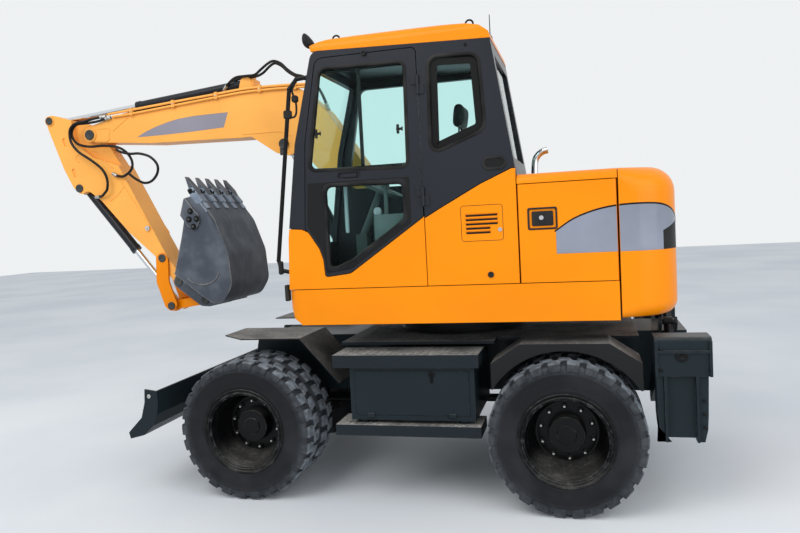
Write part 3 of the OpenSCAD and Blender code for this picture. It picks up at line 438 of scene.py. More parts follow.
def enamel(name, slot, colour, roughness=0.34, dust=0.25, dust_top=0.0, drift=0.05, edge=0.004, wear=0.0,
           worn=lin(0.45, 0.45, 0.46), coat=0.04):
    """Sprayed paint: dust lies where the surface faces the sky and, up to dust_top metres, where mud flies."""
    f = Finish(name, slot, colour, roughness, coat=coat)
    cloud = f.noise(1.7, 4)
    dark = tuple(c * (1 - 2 * drift) for c in colour[:3]) + (1.0,)
    light = tuple(min(1.0, c * (1 + drift)) for c in colour[:3]) + (1.0,)
    tone = f.blend(f.step(cloud, 0.3, 0.7), dark, light)
    speck = f.step(f.noise(46, 6), 0.42, 0.78)
    settled = f.calc("MULTIPLY", f.sky_facing(), f.step(f.noise(5, 5), 0.25, 0.75, 0.35, 1.0))
    if dust_top:
        splash = f.calc("MULTIPLY", f.low_down(0.05, dust_top), f.step(f.noise(9, 6), 0.35, 0.8))
        settled = f.calc("MAXIMUM", settled, splash)
    veil = f.calc("MULTIPLY", settled, f.calc("ADD", f.calc("MULTIPLY", speck, 0.5), 0.5))
    amount = f.calc("MULTIPLY", veil, dust, clamp=True)
    if wear:
        rub = f.calc("MULTIPLY", f.worn_edge(0.006), f.step(f.noise(24, 5), 0.45, 0.7))
        tone = f.blend(f.calc("MULTIPLY", rub, wear), tone, worn)
    f.paint(f.blend(amount, tone, dust_tone),
            f.calc("ADD", f.calc("ADD", f.calc("MULTIPLY", cloud, 0.08), roughness - 0.04),
                   f.calc("MULTIPLY", amount, 0.5), clamp=True))
    peel = f.calc("ADD", f.noise(420, 2), f.calc("MULTIPLY", f.noise(7, 2), 0.6))
    f.relief(peel, 0.05, 0.002, edge)
    return f


orange = enamel("orange_enamel", "orange_paint", lin(0.92, 0.525, 0.005), 0.3, dust=0.07, drift=0.035,
                coat=0.06)
boom_orange = enamel("boom_enamel", "orange_paint", lin(0.965, 0.675, 0.32), 0.36, dust=0.08, drift=0.04)
slate = enamel("slate_enamel", "slate_paint", lin(0.095, 0.135, 0.155), 0.38, dust=0.25, dust_top=0.5,
               wear=0.35)
deck_slate = enamel("deck_enamel", "slate_paint", lin(0.1, 0.13, 0.15), 0.5, dust=1.5, dust_top=0.45, wear=0.3)
charcoal = enamel("charcoal_enamel", "charcoal_paint", lin(0.135, 0.145, 0.168), 0.3, dust=0.06, coat=0.08)
fender_grey = enamel("fender_enamel", "fender_paint", lin(0.11, 0.112, 0.118), 0.5, dust=0.95, wear=0.2)
black = enamel("black_enamel", "black_paint", lin(0.04, 0.041, 0.045), 0.4, dust=0.15, dust_top=0.5)
print("enamels", [f.material.name for f in (orange, boom_orange, slate, deck_slate, charcoal, black)])

# %% [markdown]
# Chrome, bucket steel, glass and plastics
#
# A ground rod is nearly a mirror with a faint grain. The bucket is painted grey and scoured by earth, so it gets
# streaks across its width and bright edges. Cab glass is thin and green: transmission with a tint lets the far
# window show through, as it does in the photograph.

# %% Chrome, bucket, glass, plastics
def polished(name, slot, colour, roughness, scale=200):
    """Bare ground metal with a faint even grain."""
    f = Finish(name, slot, colour, roughness, metallic=1.0)
    grain = f.noise(scale, 3)
    f.paint(colour, f.calc("ADD", f.calc("MULTIPLY", grain, roughness), roughness * 0.6))
    f.relief(grain, 0.04, 0.0005)
    return f


chrome = polished("rod_chrome", "rod_chrome", lin(0.86, 0.87, 0.88), 0.1)
bright = polished("bright_tube", "bright_steel", lin(0.83, 0.83, 0.84), 0.16)
zinc = polished("zinc_bolts", "rod_chrome", lin(0.72, 0.72, 0.7), 0.34)

bucket_finish = Finish("bucket_coat", "bucket_grey", lin(0.3, 0.31, 0.33), 0.5)
streaks = bucket_finish.noise(14, 6, (0.5, 3.0, 0.5))
scour = bucket_finish.step(bucket_finish.noise(5, 6), 0.4, 0.75)
bare = bucket_finish.calc("MULTIPLY", bucket_finish.worn_edge(0.012), bucket_finish.step(streaks, 0.35, 0.6))
coat_tone = bucket_finish.blend(scour, lin(0.27, 0.29, 0.325), lin(0.38, 0.4, 0.43))
bucket_finish.paint(bucket_finish.blend(bare, coat_tone, lin(0.6, 0.58, 0.55)),
                    bucket_finish.step(streaks, 0.2, 0.8, 0.38, 0.62))
bucket_finish.relief(bucket_finish.calc("ADD", streaks, bucket_finish.noise(90, 3)), 0.12, 0.003, 0.003)

glass = Finish("tinted_glass", "tinted_glass", (0.77, 0.965, 0.945, 1.0), 0.02, sheen=0.4)
glass.shader.inputs["Transmission Weight"].default_value = 1.0
glass.shader.inputs["IOR"].default_value = 1.12
glass.relief(glass.noise(3, 1), 0.01, 0.002)


def moulded(name, slot, colour, roughness, grain=700, strength=0.15):
    """Moulded plastic or rubber: a fine leathery grain and a little dust in it."""
    f = Finish(name, slot, colour, roughness)
    fine = f.noise(grain, 2)
    f.paint(f.blend(f.step(f.noise(6, 4), 0.3, 0.8, 0, 0.25), colour, lin(0.32, 0.31, 0.3)),
            f.calc("ADD", f.calc("MULTIPLY", fine, 0.15), roughness - 0.07))
    f.relief(fine, strength, 0.001, 0.002)
    return f


plastic = moulded("dark_plastic", "dark_plastic", lin(0.1, 0.1, 0.105), 0.5)
hose_rubber = moulded("hose_rubber", "dark_plastic", lin(0.055, 0.055, 0.06), 0.42, 300, 0.1)
iron = enamel("engine_iron", "engine_iron", lin(0.24, 0.25, 0.25), 0.55, dust=0.5, dust_top=2.5)

# %% [markdown]
# Seat cloth and tyre rubber
#
# Cloth is a weave: two sets of fine waves at right angles. Rubber is black only when it is new. Here dust sits
# on the tread and the shoulders, and the lug tops also carry a painted highlight, so its tone follows the
# distance from the wheel's axis.

# %% Seat cloth and rubber
cloth = Finish("seat_cloth", "seat_fabric", lin(0.13, 0.13, 0.14), 0.85)
cloth.shader.inputs["Sheen Weight"].default_value = 0.3
weft = cloth.wire("TexWave", {"Vector": cloth.place, "Scale": 260.0, "Distortion": 0.4}, bands_direction="Y")
warp = cloth.wire("TexWave", {"Vector": cloth.place, "Scale": 260.0, "Distortion": 0.4}, bands_direction="Z")
weave = cloth.calc("MULTIPLY", weft.outputs["Fac"], warp.outputs["Fac"])
cloth.paint(cloth.blend(weave, lin(0.1, 0.1, 0.11), lin(0.2, 0.2, 0.22)), 0.85)
cloth.relief(weave, 0.3, 0.001)


def rubber(name, centre, tread_r):
    """Tyre rubber round one axle: dust and a painted highlight grow from the bead to the lugs' tips, patchy where
    lugs scuff.
    """
    f = Finish(name, "tyre_rubber", lin(0.09, 0.09, 0.095), 0.75)
    moved = f.wire("Mapping", {"Vector": f.place, "Location": (-centre[0], 0, -centre[2])}).outputs[0]
    parts = f.wire("SeparateXYZ", {0: moved})
    flat = f.wire("CombineXYZ", {"X": parts.outputs["X"], "Z": parts.outputs["Z"]}).outputs[0]
    radius = f.wire("VectorMath", {0: flat}, operation="LENGTH").outputs["Value"]
    # Lighter lug tops: dust together with a painted highlight where the tops face the sky
    lit_dusty_tips = f.step(radius, tread_r + 0.003, tread_r + 0.015)
    shoulder = f.step(radius, tread_r - 0.07, tread_r - 0.005, 0.0, 0.22)
    patch = f.step(f.noise(22, 6), 0.3, 0.75, 0.35, 1.0)
    share = f.calc("MULTIPLY", f.calc("MAXIMUM", lit_dusty_tips, shoulder), patch)
    haze = f.step(f.noise(3.5, 5), 0.35, 0.75, 0.0, 0.28)
    tone = f.blend(haze, lin(0.1, 0.105, 0.115), lin(0.25, 0.255, 0.27))
    f.paint(f.blend(f.calc("MULTIPLY", share, 0.85), tone, lin(0.54, 0.57, 0.6)), 0.78)
    rings = f.wire("Math", {0: f.calc("MULTIPLY", radius, 520.0)}, operation="SINE").outputs[0]
    ringed = f.calc("MULTIPLY", rings, f.step(radius, 0.42, 0.36))
    f.relief(f.calc("ADD", f.noise(160, 4), f.calc("MULTIPLY", ringed, 0.12)), 0.25, 0.002)
    return f

# %% [markdown]
# Paint on the skeleton
#
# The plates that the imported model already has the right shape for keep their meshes. Only their finish changes.

# %% Paint on the skeleton
dress(deck_slate, "deck", "steps")
dress(slate, "chassis_frame", "tool_boxes", "axle_front", "axle_rear", "knuckle_left",
      "knuckle_right", "blade", "outrigger_left", "outrigger_right")
dress(fender_grey, "fenders")
dress(black, "driveline", "blade_barrel", "outrigger_barrel_left", "outrigger_barrel_right", "grab_rail")
dress(charcoal, "upper_frame", "cab_shell", "cab_door", "boom_barrel", "arm_barrel", "bucket_barrel")
dress(orange, "side_skirts", "counterweight", "hood", "engine_door", "service_panel", "right_tank",
      "cab_roof", "cab_sill", "rocker", "bucket_link")
dress(boom_orange, "boom", "arm")
dress(bucket_finish, "bucket")
dress(chrome, "blade_rod", "outrigger_rod_left", "outrigger_rod_right", "boom_rod", "arm_rod", "bucket_rod")
dress(bright, "exhaust")
dress(glass, "cab_glass", "door_glass")
dress(cloth, "seat")
dress(iron, "engine")

concrete = Finish("yard_concrete", "slate_paint", lin(0.83, 0.85, 0.865), 0.9)
concrete.paint(concrete.blend(concrete.step(concrete.noise(0.35, 6), 0.3, 0.7), lin(0.81, 0.83, 0.85),
                              lin(0.86, 0.875, 0.885)), 0.9)
floor_mesh.materials.append(concrete.material)
print("dressed", len(nodes), "nodes")

# %% [markdown]
# Tyres
#
# A block tyre is a torus with a pattern pressed in. Its casing is a profile turned round the axle; the pattern
# is a height that depends on two parameters, the angle and the place across the tread. Each half has its own
# row of lugs, half a pitch apart from the other, cut once by a narrow groove and wrapped over the shoulder.
# The grid lines are put exactly on the lugs' edges, so the blocks stay crisp with few faces.

# %% Tyre casing and lugs
wheel_names = ["front_left", "front_right", "rear_left", "rear_right"]
axle_at = {name: joint_at["wheel_%s_spin" % name] for name in wheel_names}
tyre_r = axle_at["rear_left"][2]
twin_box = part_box("tyres_rear_left")
twin_width = twin_box[1].y - twin_box[0].y
tyre_w = 0.225
twin_step = twin_width - tyre_w
lugs = 26
lug_h = 0.019
tread_r = tyre_r - lug_h
bead_r = 0.257

# Across one half, from the tread's middle to the bead: radius, distance from the middle, lug height, shift of
# the lug round the tyre in pitches, and the outward direction in which the lug stands (radial, axial)
half_profile = np.array([
    [tread_r, 0.0000, 0.000, 0.00, 1.0, 0.0],
    [tread_r, 0.0065, 0.000, 0.12, 1.0, 0.0],
    [tread_r, 0.0085, lug_h, 0.12, 1.0, 0.0],
    [tread_r, 0.0260, lug_h, 0.06, 1.0, 0.0],
    [tread_r, 0.0450, lug_h, 0.00, 1.0, 0.0],
    [tread_r, 0.0465, lug_h * 0.45, 0.00, 1.0, 0.0],
    [tread_r, 0.0500, lug_h * 0.45, 0.00, 1.0, 0.0],
    [tread_r, 0.0515, lug_h, 0.00, 1.0, 0.0],
    [tread_r, 0.0720, lug_h, 0.00, 1.0, 0.0],
    [tread_r - 0.001, 0.0880, lug_h - 0.001, 0.00, 1.0, 0.05],
    [tread_r - 0.004, 0.0960, lug_h - 0.002, 0.00, 0.93, 0.35],
    [tread_r - 0.012, 0.1010, 0.016, 0.00, 0.85, 0.50],
    [tread_r - 0.024, 0.1045, 0.014, 0.00, 0.55, 0.52],
    [tread_r - 0.036, 0.1075, 0.009, 0.00, 0.30, 0.60],
    [tread_r - 0.0385, 0.1082, 0.000, 0.00, 0.0, 1.0],
    [0.4180, 0.1108, 0.000, 0.00, 0.0, 1.0],
    [0.4140, 0.1128, 0.000, 0.00, 0.0, 1.0],
    [0.4100, 0.1114, 0.000, 0.00, 0.0, 1.0],
    [0.3850, 0.1125, 0.000, 0.00, 0.0, 1.0],
    [0.3600, 0.1122, 0.000, 0.00, 0.0, 1.0],
    [0.3350, 0.1110, 0.000, 0.00, 0.0, 1.0],
    [0.3180, 0.1082, 0.000, 0.00, 0.0, 1.0],
    [0.3150, 0.1092, 0.000, 0.00, 0.0, 1.0],
    [0.3080, 0.1075, 0.000, 0.00, 0.0, 1.0],
    [0.2980, 0.1045, 0.000, 0.00, 0.0, 1.0],
    [0.2880, 0.1020, 0.000, 0.00, 0.0, 1.0],
    [bead_r, 0.1000, 0.000, 0.00, 0.0, 1.0]])
# Where the grid lines lie in one pitch, and how high the lug is there
pitch_lines = np.array([-0.5, -0.42, -0.345, -0.310, -0.16, 0.0, 0.16, 0.310, 0.345, 0.42])
lug_there = np.array([0, 0, 0, 1, 1, 1, 1, 1, 0, 0])


def tyre(centre):
    """radius = casing + lug height x pattern(angle), along = place across + the shoulder lug's outward lean."""
    left = half_profile[::-1] * [1, -1, 1, 1, 1, -1]
    across = np.vstack([left, half_profile[1:]])
    stagger = np.where(across[:, 1] < 0, 0.5, 0.0)
    stagger[len(half_profile) - 1] = 0.25
    lines = (np.arange(lugs)[:, None] + pitch_lines[None, :]).reshape(-1)
    there = np.tile(lug_there, lugs)
    angle = (lines[:, None] + stagger[None, :] + across[None, :, 3]) * 2 * math.pi / lugs
    height = there[:, None] * across[None, :, 2]
    radius = across[None, :, 0] + height * across[None, :, 4]
    along = across[None, :, 1] + height * across[None, :, 5]
    points = centre + np.stack([radius * np.cos(angle), along, radius * np.sin(angle)], axis=-1)
    return outward(points.reshape(-1, 3), grid_faces(len(lines), len(across), True, True))


for name in wheel_names:
    middle = axle_at[name]
    twins = joined([tyre(middle + [0, side * twin_step / 2, 0]) for side in (-1, 1)])
    finish = rubber("tyre_rubber_" + name, middle, tread_r)
    pair = add_piece("tread_" + name, *twins, finish.material, "wheel_" + name, sharp_angle=28)
    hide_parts("tyres_" + name)
print("tyre faces", len(twins[1]))

# %% [markdown]
# Rims, hubs and nuts
#
# A twin wheel is two dished rims bolted disc to disc, so the outer one is a deep bowl and the inner one shows
# its back. The bowl is one profile turned round the axle, with the rolled lip and the loose lock ring that give
# the two bright circles in the photograph. Ten domed nuts sit in the bowl, round a plain drum.

# %% Rims, hubs and nuts
dish = [
    (0.1000, 0.0010), (0.2000, 0.0010), (0.2330, 0.0220), (0.2850, 0.0225), (0.2860, 0.0300), (0.2555, 0.0310),
    (0.2555, 0.2350), (0.2900, 0.2355), (0.2960, 0.2385), (0.2970, 0.2425), (0.2935, 0.2455), (0.2860, 0.2450),
    (0.2800, 0.2410), (0.2770, 0.2375), (0.2735, 0.2385), (0.2715, 0.2430), (0.2680, 0.2445), (0.2640, 0.2425),
    (0.2600, 0.2350), (0.2540, 0.2280), (0.2500, 0.2200), (0.2480, 0.1900), (0.2420, 0.1780), (0.2400, 0.1740),
    (0.2390, 0.1250), (0.2360, 0.0980), (0.2280, 0.0720), (0.2150, 0.0480), (0.2070, 0.0360), (0.2040, 0.0260),
    (0.1980, 0.0200), (0.1900, 0.0185), (0.1850, 0.0200), (0.1500, 0.0210), (0.1300, 0.0210), (0.1000, 0.0210)]
drum = [(0.1000, -0.1490), (0.1000, 0.0220), (0.1180, 0.0230), (0.1180, 0.0400), (0.1150, 0.0430),
        (0.1150, 0.1000), (0.1110, 0.1060), (0.0900, 0.1085), (0.0600, 0.1085), (0.0570, 0.1170),
        (0.0300, 0.1190)]
nut = [(0.0185, 0.0200), (0.0185, 0.0380), (0.0155, 0.0415), (0.0100, 0.0418)]
stud = [(0.0090, 0.0400), (0.0090, 0.0520), (0.0070, 0.0550), (0.0030, 0.0560)]
studs = 10
stud_circle = 0.335 / 2
stud_turn = {"front_left": 0.2, "front_right": 0.1, "rear_left": 0.25, "rear_right": 0.05}

wheel_black = enamel("wheel_enamel", "black_paint", lin(0.035, 0.036, 0.04), 0.33, dust=0.3, dust_top=0.42,
                     wear=0.5, worn=lin(0.55, 0.55, 0.56))
for name in wheel_names:
    outward_sign = 1 if "left" in name else -1
    middle, axis = axle_at[name], np.array([0, outward_sign, 0.0])
    rims = [outward(*turned(dish, middle, axis * s, 96)) for s in (1, -1)]
    rims.append(outward(*turned(drum, middle, axis, 72, closed=False)))
    pins = []
    for k in range(studs):
        a = stud_turn[name] + k * 2 * math.pi / studs
        seat = middle + stud_circle * np.array([math.cos(a), 0, math.sin(a)])
        rims.append(outward(*turned(nut, seat, axis, 6, spin=a, closed=False)))
        pins.append(outward(*turned(stud, seat, axis, 14, closed=False)))
    wheel = add_parts("rims_" + name, rims, wheel_black, "wheel_" + name, 30)
    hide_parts("wheels_" + name)
    add_parts("studs_" + name, pins, zinc, "wheel_" + name, 30)
print("wheels", wheel_names)

# %% [markdown]
# Outlines, plates and rings
#
# Windows, hatches and cover plates all start from a flat outline with rounded corners. A plate is that outline
# at two heights with its upper edge eased. A ring, such as the rubber lip of a window, is a small profile
# carried round it. Where a thing can only be measured in the photograph, `seen` sends a ray through the camera
# and cuts it with the plane in which the thing must lie.

# %% Outlines, plates and rings
picture_middle = (400, 266.5)


def seen(pixel_x, pixel_y, plane_y):
    """Where the ray through a pixel of the 800 wide picture meets the upright plane at plane_y."""
    ray = forward * focal_px + right * (pixel_x - picture_middle[0]) - up * (pixel_y - picture_middle[1])
    return camera_place + ray * (plane_y - camera_place[1]) / ray[1]


def all_seen(pixels, plane_y):
    """The same for a list of pixels, as one array of points."""
    return np.array([seen(px, py, plane_y) for px, py in pixels])


def rounded(corners, radii, steps=6):
    """Each corner becomes an arc: its centre lies on the bisector, radius / sin(half angle) from the corner."""
    corners = np.asarray(corners, float)
    radii = np.broadcast_to(radii, len(corners))
    runs = []
    for i, (corner, radius) in enumerate(zip(corners, radii)):
        u, v = corners[i - 1] - corner, corners[(i + 1) % len(corners)] - corner
        u, v = u / np.linalg.norm(u), v / np.linalg.norm(v)
        half = math.acos(np.clip(u @ v, -1, 1)) / 2
        if radius <= 0 or half > 1.56:
            runs.append(corner[None])
            continue
        centre = corner + (u + v) / np.linalg.norm(u + v) * radius / math.sin(half)
        start, end = (corner + w * radius / math.tan(half) - centre for w in (u, v))
        k = math.pi - 2 * half
        t = np.linspace(0, 1, steps)[:, None]
        runs.append(centre + (start * np.sin(k * (1 - t)) + end * np.sin(k * t)) / math.sin(k))
    return np.vstack(runs)


def pull_in(outline):
    """The way inwards at each corner of a closed outline: both edges' normals added, scaled so that walls stay
    parallel."""
    edge = np.roll(outline, -1, 0) - outline
    edge /= np.linalg.norm(edge, axis=1)[:, None]
    normal = np.stack([-edge[:, 1], edge[:, 0]], axis=1)
    before = np.roll(normal, 1, 0)
    x, z = outline.T
    turn = np.sign(np.sum(x * np.roll(z, -1) - np.roll(x, -1) * z))
    return turn * (normal + before) / (1 + np.einsum("ij,ij->i", normal, before))[:, None]


X, Y, Z = np.eye(3)
left_side = (np.array([slew_x, upper_side, 0]), X, Z, Y)
boom_half = 0.11
boom_face = boom_y + boom_half
boom_left = (np.array([slew_x, boom_face, 0]), X, Z, Y)
boom_right = (np.array([slew_x, boom_y - boom_half, 0]), X, Z, -Y)


def on_plane(flat, height, plane):
    """Origin + first coordinate x U + second coordinate x V + height x W."""
    origin, u, v, w = plane
    return origin + flat[:, :1] * u + flat[:, 1:2] * v + height * w


def band(outline, profile, plane):
    """A closed profile of (inward, height) pairs carried round a closed outline."""
    inward = pull_in(outline)
    grid = np.stack([on_plane(outline + inward * a, h, plane) for a, h in profile], axis=1)
    return outward(grid.reshape(-1, 3), grid_faces(len(outline), len(profile), True, True))


def plate(outline, low, high, plane, ease=0.0015):
    """A flat plate between two heights, its upper edge eased by a small chamfer."""
    inward = pull_in(outline)
    profile = [(0, low), (0, high - ease), (ease * 0.3, high - ease * 0.3), (ease, high)]
    grid = np.stack([on_plane(outline + inward * a, h, plane) for a, h in profile], axis=1)
    faces = [list(f) for f in grid_faces(len(outline), 4, True, False)]
    faces.append([i * 4 for i in range(len(outline))][::-1])
    faces.append([i * 4 + 3 for i in range(len(outline))])
    return outward(grid.reshape(-1, 3), faces)


def bolts(centres, axis, radius=0.009, height=0.007):
    """Hexagon heads that stand on a face, their corners turned a little from one to the next."""
    profile = [(radius, -0.001), (radius, height * 0.75), (radius * 0.8, height), (radius * 0.1, height)]
    return [outward(*turned(profile, c, axis, 6, spin=0.4 * i, closed=False)) for i, c in enumerate(centres)]


def cap(centre, axis, radius, height, dish=0.3):
    """A round pin cap with an eased rim and a shallow dish."""
    profile = [(radius, -0.001), (radius, height * 0.8), (radius * 0.96, height),
               (radius * (dish + 0.15), height), (radius * dish, height * 0.6), (radius * 0.05, height * 0.6)]
    return outward(*turned(profile, centre, axis, 40, closed=False))


def pin_caps(centre, half, radius, height):
    """A cap on both ends of a pin along Y, half metres from its middle."""
    return [cap(centre + [0, side * half, 0], Y * side, radius, height) for side in (1, -1)]

# %% [markdown]
# Windows of the cab
#
# Each pane sits in a rubber lip. The door's upper window has two sliding panes that meet behind a dark upright
# bar, with a small catch on each; the quarter window behind it has a printed black border on the glass. The
# lips are one profile carried round the outlines of the openings.

# %% Window lips, bars and catches
door_upper = rounded([[0.140, 2.225], [0.808, 2.245], [0.700, 2.895], [0.130, 2.880]],
                     [0.04, 0.04, 0.06, 0.04])
door_lower = rounded([[0.172, 2.129], [0.172, 1.890], [0.548, 1.636], [0.660, 1.592], [0.706, 1.600],
                      [0.708, 2.139]], [0.04, 0.06, 0.1, 0.03, 0.03, 0.05])
quarter = rounded([[-0.015, 2.290], [-0.025, 2.895], [-0.338, 2.880], [-0.362, 2.420]],
                  [0.05, 0.06, 0.06, 0.07])
lip = [(-0.013, 0.0003), (-0.013, 0.0025), (-0.005, 0.0045), (0.005, 0.003), (0.012, -0.009), (0.012, -0.0137),
       (0.001, -0.0137), (0.001, 0.0003)]
add_parts("window_lips_door", [band(door_upper, lip, left_side), band(door_lower, lip, left_side)],
          hose_rubber, "cab_door", 40)
add_piece("window_lip_quarter", *band(quarter, lip, left_side), hose_rubber.material, "upper", 40)
printed = [(-0.004, -0.0138), (0.055, -0.0138), (0.055, -0.0132), (-0.004, -0.0132)]
add_piece("quarter_border", *band(quarter, printed, left_side), black.material, "upper", 40)

bar_px = (359, 115)
catch_px = [(316.5, 134), (398, 129)]
# Each block: x from and to, depth behind the side from and to, z from and to, bevel
bar_x = seen(*bar_px, upper_side)[0]
bar_blocks = [(bar_x - 0.012, bar_x + 0.012, 0.032, 0.0205, 2.232, 2.889, 0.003),
              (slew_x + 0.142, slew_x + 0.80, 0.036, 0.021, 2.236, 2.252, 0.003),
              (slew_x + 0.142, slew_x + 0.695, 0.036, 0.021, 2.866, 2.880, 0.003)]
for px, py in catch_px:
    x, _, z = seen(px, py, upper_side - 0.014)
    bar_blocks += [(x - 0.009, x + 0.009, 0.0145, 0.003, z - 0.030, z + 0.030, 0.004),
                   (x - 0.030, x + 0.012, 0.0145, 0.006, z - 0.008, z + 0.008, 0.003),
                   (x - 0.032, x - 0.024, 0.0145, 0.005, z - 0.014, z + 0.014, 0.003)]
bar = [block((x0, upper_side - deep, z0), (x1, upper_side - shallow, z1), bevel)
       for x0, x1, deep, shallow, z0, z1, bevel in bar_blocks]
add_parts("sliding_window_bars", bar, plastic, "cab_door", 40)
print("window outlines", len(door_upper), len(door_lower), len(quarter))

# %% [markdown]
# Hatch, latch, lock buttons and the grey leaf
#
# Small things make a panel read as real: the seam of the battery hatch, the lips of its louvres, a paddle
# latch in a black tray with a silver lock button. The grey leaf that runs from the engine door round the
# counterweight is a thin painted skin that follows the plates about a millimetre above them: along the flat
# door, and then round the corner's arc, where the angle takes the place of the distance. A black line along
# its top edge is painted shadow, the shade under the lip of a recess.

# %% Panel details on the left side
hatch = rounded([[-0.449, 1.730], [-0.185, 1.730], [-0.185, 1.955], [-0.449, 1.955]], 0.02)
seam = [(0, 0.0002), (0.003, 0.0002), (0.003, 0.0007), (0, 0.0007)]
tray = rounded([[-0.770, 1.790], [-0.605, 1.790], [-0.605, 1.912], [-0.770, 1.912]], 0.006)
add_piece("hatch_seam", *band(hatch, seam, left_side), hose_rubber.material, "upper", 40)
louvre_count, louvre_pitch, louvre_z = 5, 0.027, 1.7885
# The two lowest slots are shorter, to leave room for the lock
louvre_start = [slew_x + (-0.372 if i < 2 else -0.419) for i in range(louvre_count)]
louvres = []
for i, x0 in enumerate(louvre_start):
    z = louvre_z + louvre_pitch * i
    louvres.append(block((x0, upper_side - 0.004, z), (slew_x - 0.212, upper_side + 0.004, z + 0.006), 0.002))
add_parts("louvre_lips", louvres, orange, "upper", 40)

tray_ring = [(-0.007, 0.0003), (-0.007, 0.003), (0.0, 0.004), (0.004, 0.001), (0.004, -0.0075),
             (0.001, -0.0075), (0.001, 0.0003)]
paddle = rounded([[-0.752, 1.806], [-0.623, 1.806], [-0.623, 1.896], [-0.752, 1.896]], 0.008)
add_parts("latch_tray", [band(tray, tray_ring, left_side), plate(paddle, -0.0078, -0.002, left_side)],
          plastic, "engine_door", 40)
for name, along, height, lift, radius, tall, dish, finish, body in (
        ("latch_button", -0.681, 1.856, -0.0025, 0.014, 0.005, 0.4, bright, "engine_door"),
        ("hatch_lock", -0.428, 1.797, 0, 0.013, 0.006, 0.4, bright, "upper"),
        ("panel_plug", -0.359, 1.518, 0, 0.019, 0.006, 0.5, hose_rubber, "upper")):
    button = cap(np.array([slew_x + along, upper_side + lift, height]), Y, radius, tall, dish)
    add_piece(name, *button, finish.material, body, 40)

leaf_grey = enamel("leaf_coat", "charcoal_paint", lin(0.5, 0.52, 0.57), 0.3, dust=0.1, drift=0.12, coat=0.3)
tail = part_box("counterweight")
corner_r = 0.26
corner_x = tail[0].x + corner_r
corner_y = upper_side - corner_r


def leaf_place(along, lift):
    """A point on the left wall, along metres behind the slew centre; past the corner's start the rest of the
    length becomes the arc's angle."""
    start = slew_x - corner_x
    angle = np.clip((along - start) / corner_r, 0, math.pi / 2)
    x = np.where(along < start, slew_x - along, corner_x - (corner_r + lift) * np.sin(angle))
    y = np.where(along < start, upper_side + lift, corner_y + (corner_r + lift) * np.cos(angle))
    return x, y


def leaf(first, last, low, top, lift, rows=40, columns=9):
    """A closed skin between a lower and an upper edge, lift metres above the plates."""
    along = np.linspace(first, last, rows)
    share = np.linspace(0, 1, columns)
    z = low(along)[:, None] * (1 - share) + top(along)[:, None] * share
    sheets = []
    for h in (lift, -0.0005):
        x, y = (np.repeat(line[:, None], columns, 1) for line in leaf_place(along, h))
        sheets.append(np.stack([x, y, z], axis=-1))
    ring = np.concatenate([sheets[0], sheets[1][:, ::-1]], axis=1)
    return outward(ring.reshape(-1, 3), tube_faces(rows, 2 * columns))


leaf_top_at = np.array([[0.760, 1.766], [0.872, 1.837], [0.999, 1.882], [1.122, 1.903], [1.258, 1.908],
                        [1.380, 1.900], [1.480, 1.870], [1.560, 1.822], [1.640, 1.760]])
leaf_curve = smooth_path(leaf_top_at, 60).T
leaf_top = lambda along: np.interp(along, *leaf_curve)
leaf_low = lambda along: np.full_like(along, 1.632)
door_end = slew_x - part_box("engine_door")[0].x
shell_start = slew_x - tail[1].x
# The black line along the leaf's top edge is painted shadow under a recess's lip
shadow_line_top = lambda along: leaf_top(along) + 0.009
shadow_line_low = lambda along: leaf_top(along) - 0.001
for name, first, shadow_line_first, last, body in (
        ("leaf_door", 0.765, 0.757, door_end - 0.004, "engine_door"),
        ("leaf_tail", shell_start + 0.002, shell_start + 0.002, 1.640, "upper")):
    add_piece(name, *leaf(first, last, leaf_low, leaf_top, 0.0008), leaf_grey.material, body)
    add_piece(name + "_rim", *leaf(shadow_line_first, last, shadow_line_low, shadow_line_top, 0.0016), black.material, body)
vent_top = lambda along: 1.745 + (along - 1.40) * 0.35
add_piece("leaf_vent", *leaf(1.400, 1.560, leaf_low, vent_top, 0.0014, 12), hose_rubber.material, "upper")
print("leaf from", round(door_end, 3), "to", round(shell_start, 3))

# %% [markdown]
# Exhaust, roof eyes, lamp and aerial
#
# The exhaust is a polished tube that bends backwards in one smooth quarter. On the roof stand the rings that a
# crane lifts the cab by, a lamp in an egg of black plastic at the front corner and a short aerial behind.

# %% On the hood and the roof
hood_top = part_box("hood")[1].z
pipe_y = 0.12
foot_px = (534.7, 172)
bend_px = [(535.4, 160.5), (538.0, 155.2), (542.3, 151.6), (547.6, 149.9)]
foot_x = seen(*foot_px, pipe_y)[0]
foot = [[foot_x, pipe_y, hood_top - 0.01], [foot_x, pipe_y, hood_top + 0.06]]
route = np.vstack([foot, all_seen(bend_px, pipe_y)])
pipe_path = smooth_path(route, 40)
round_steps = 28
turn = np.arange(round_steps) * 2 * math.pi / round_steps
rings = [swept(pipe_path, np.stack([r * np.cos(turn), r * np.sin(turn)], axis=1)) for r in (0.0245, 0.0225)]
wall = np.concatenate([rings[0], rings[1][::-1]], axis=0)
pipe = outward(wall.reshape(-1, 3), grid_faces(len(wall), round_steps, True, True))
flange = outward(*turned([(0.036, -0.002), (0.036, 0.006), (0.033, 0.009), (0.026, 0.010), (0.026, -0.002)],
                         route[0] + [0, 0, 0.010], Z, 40))
exhaust = add_parts("exhaust_tube", [pipe, flange], bright, "upper", 40)
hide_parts("exhaust")

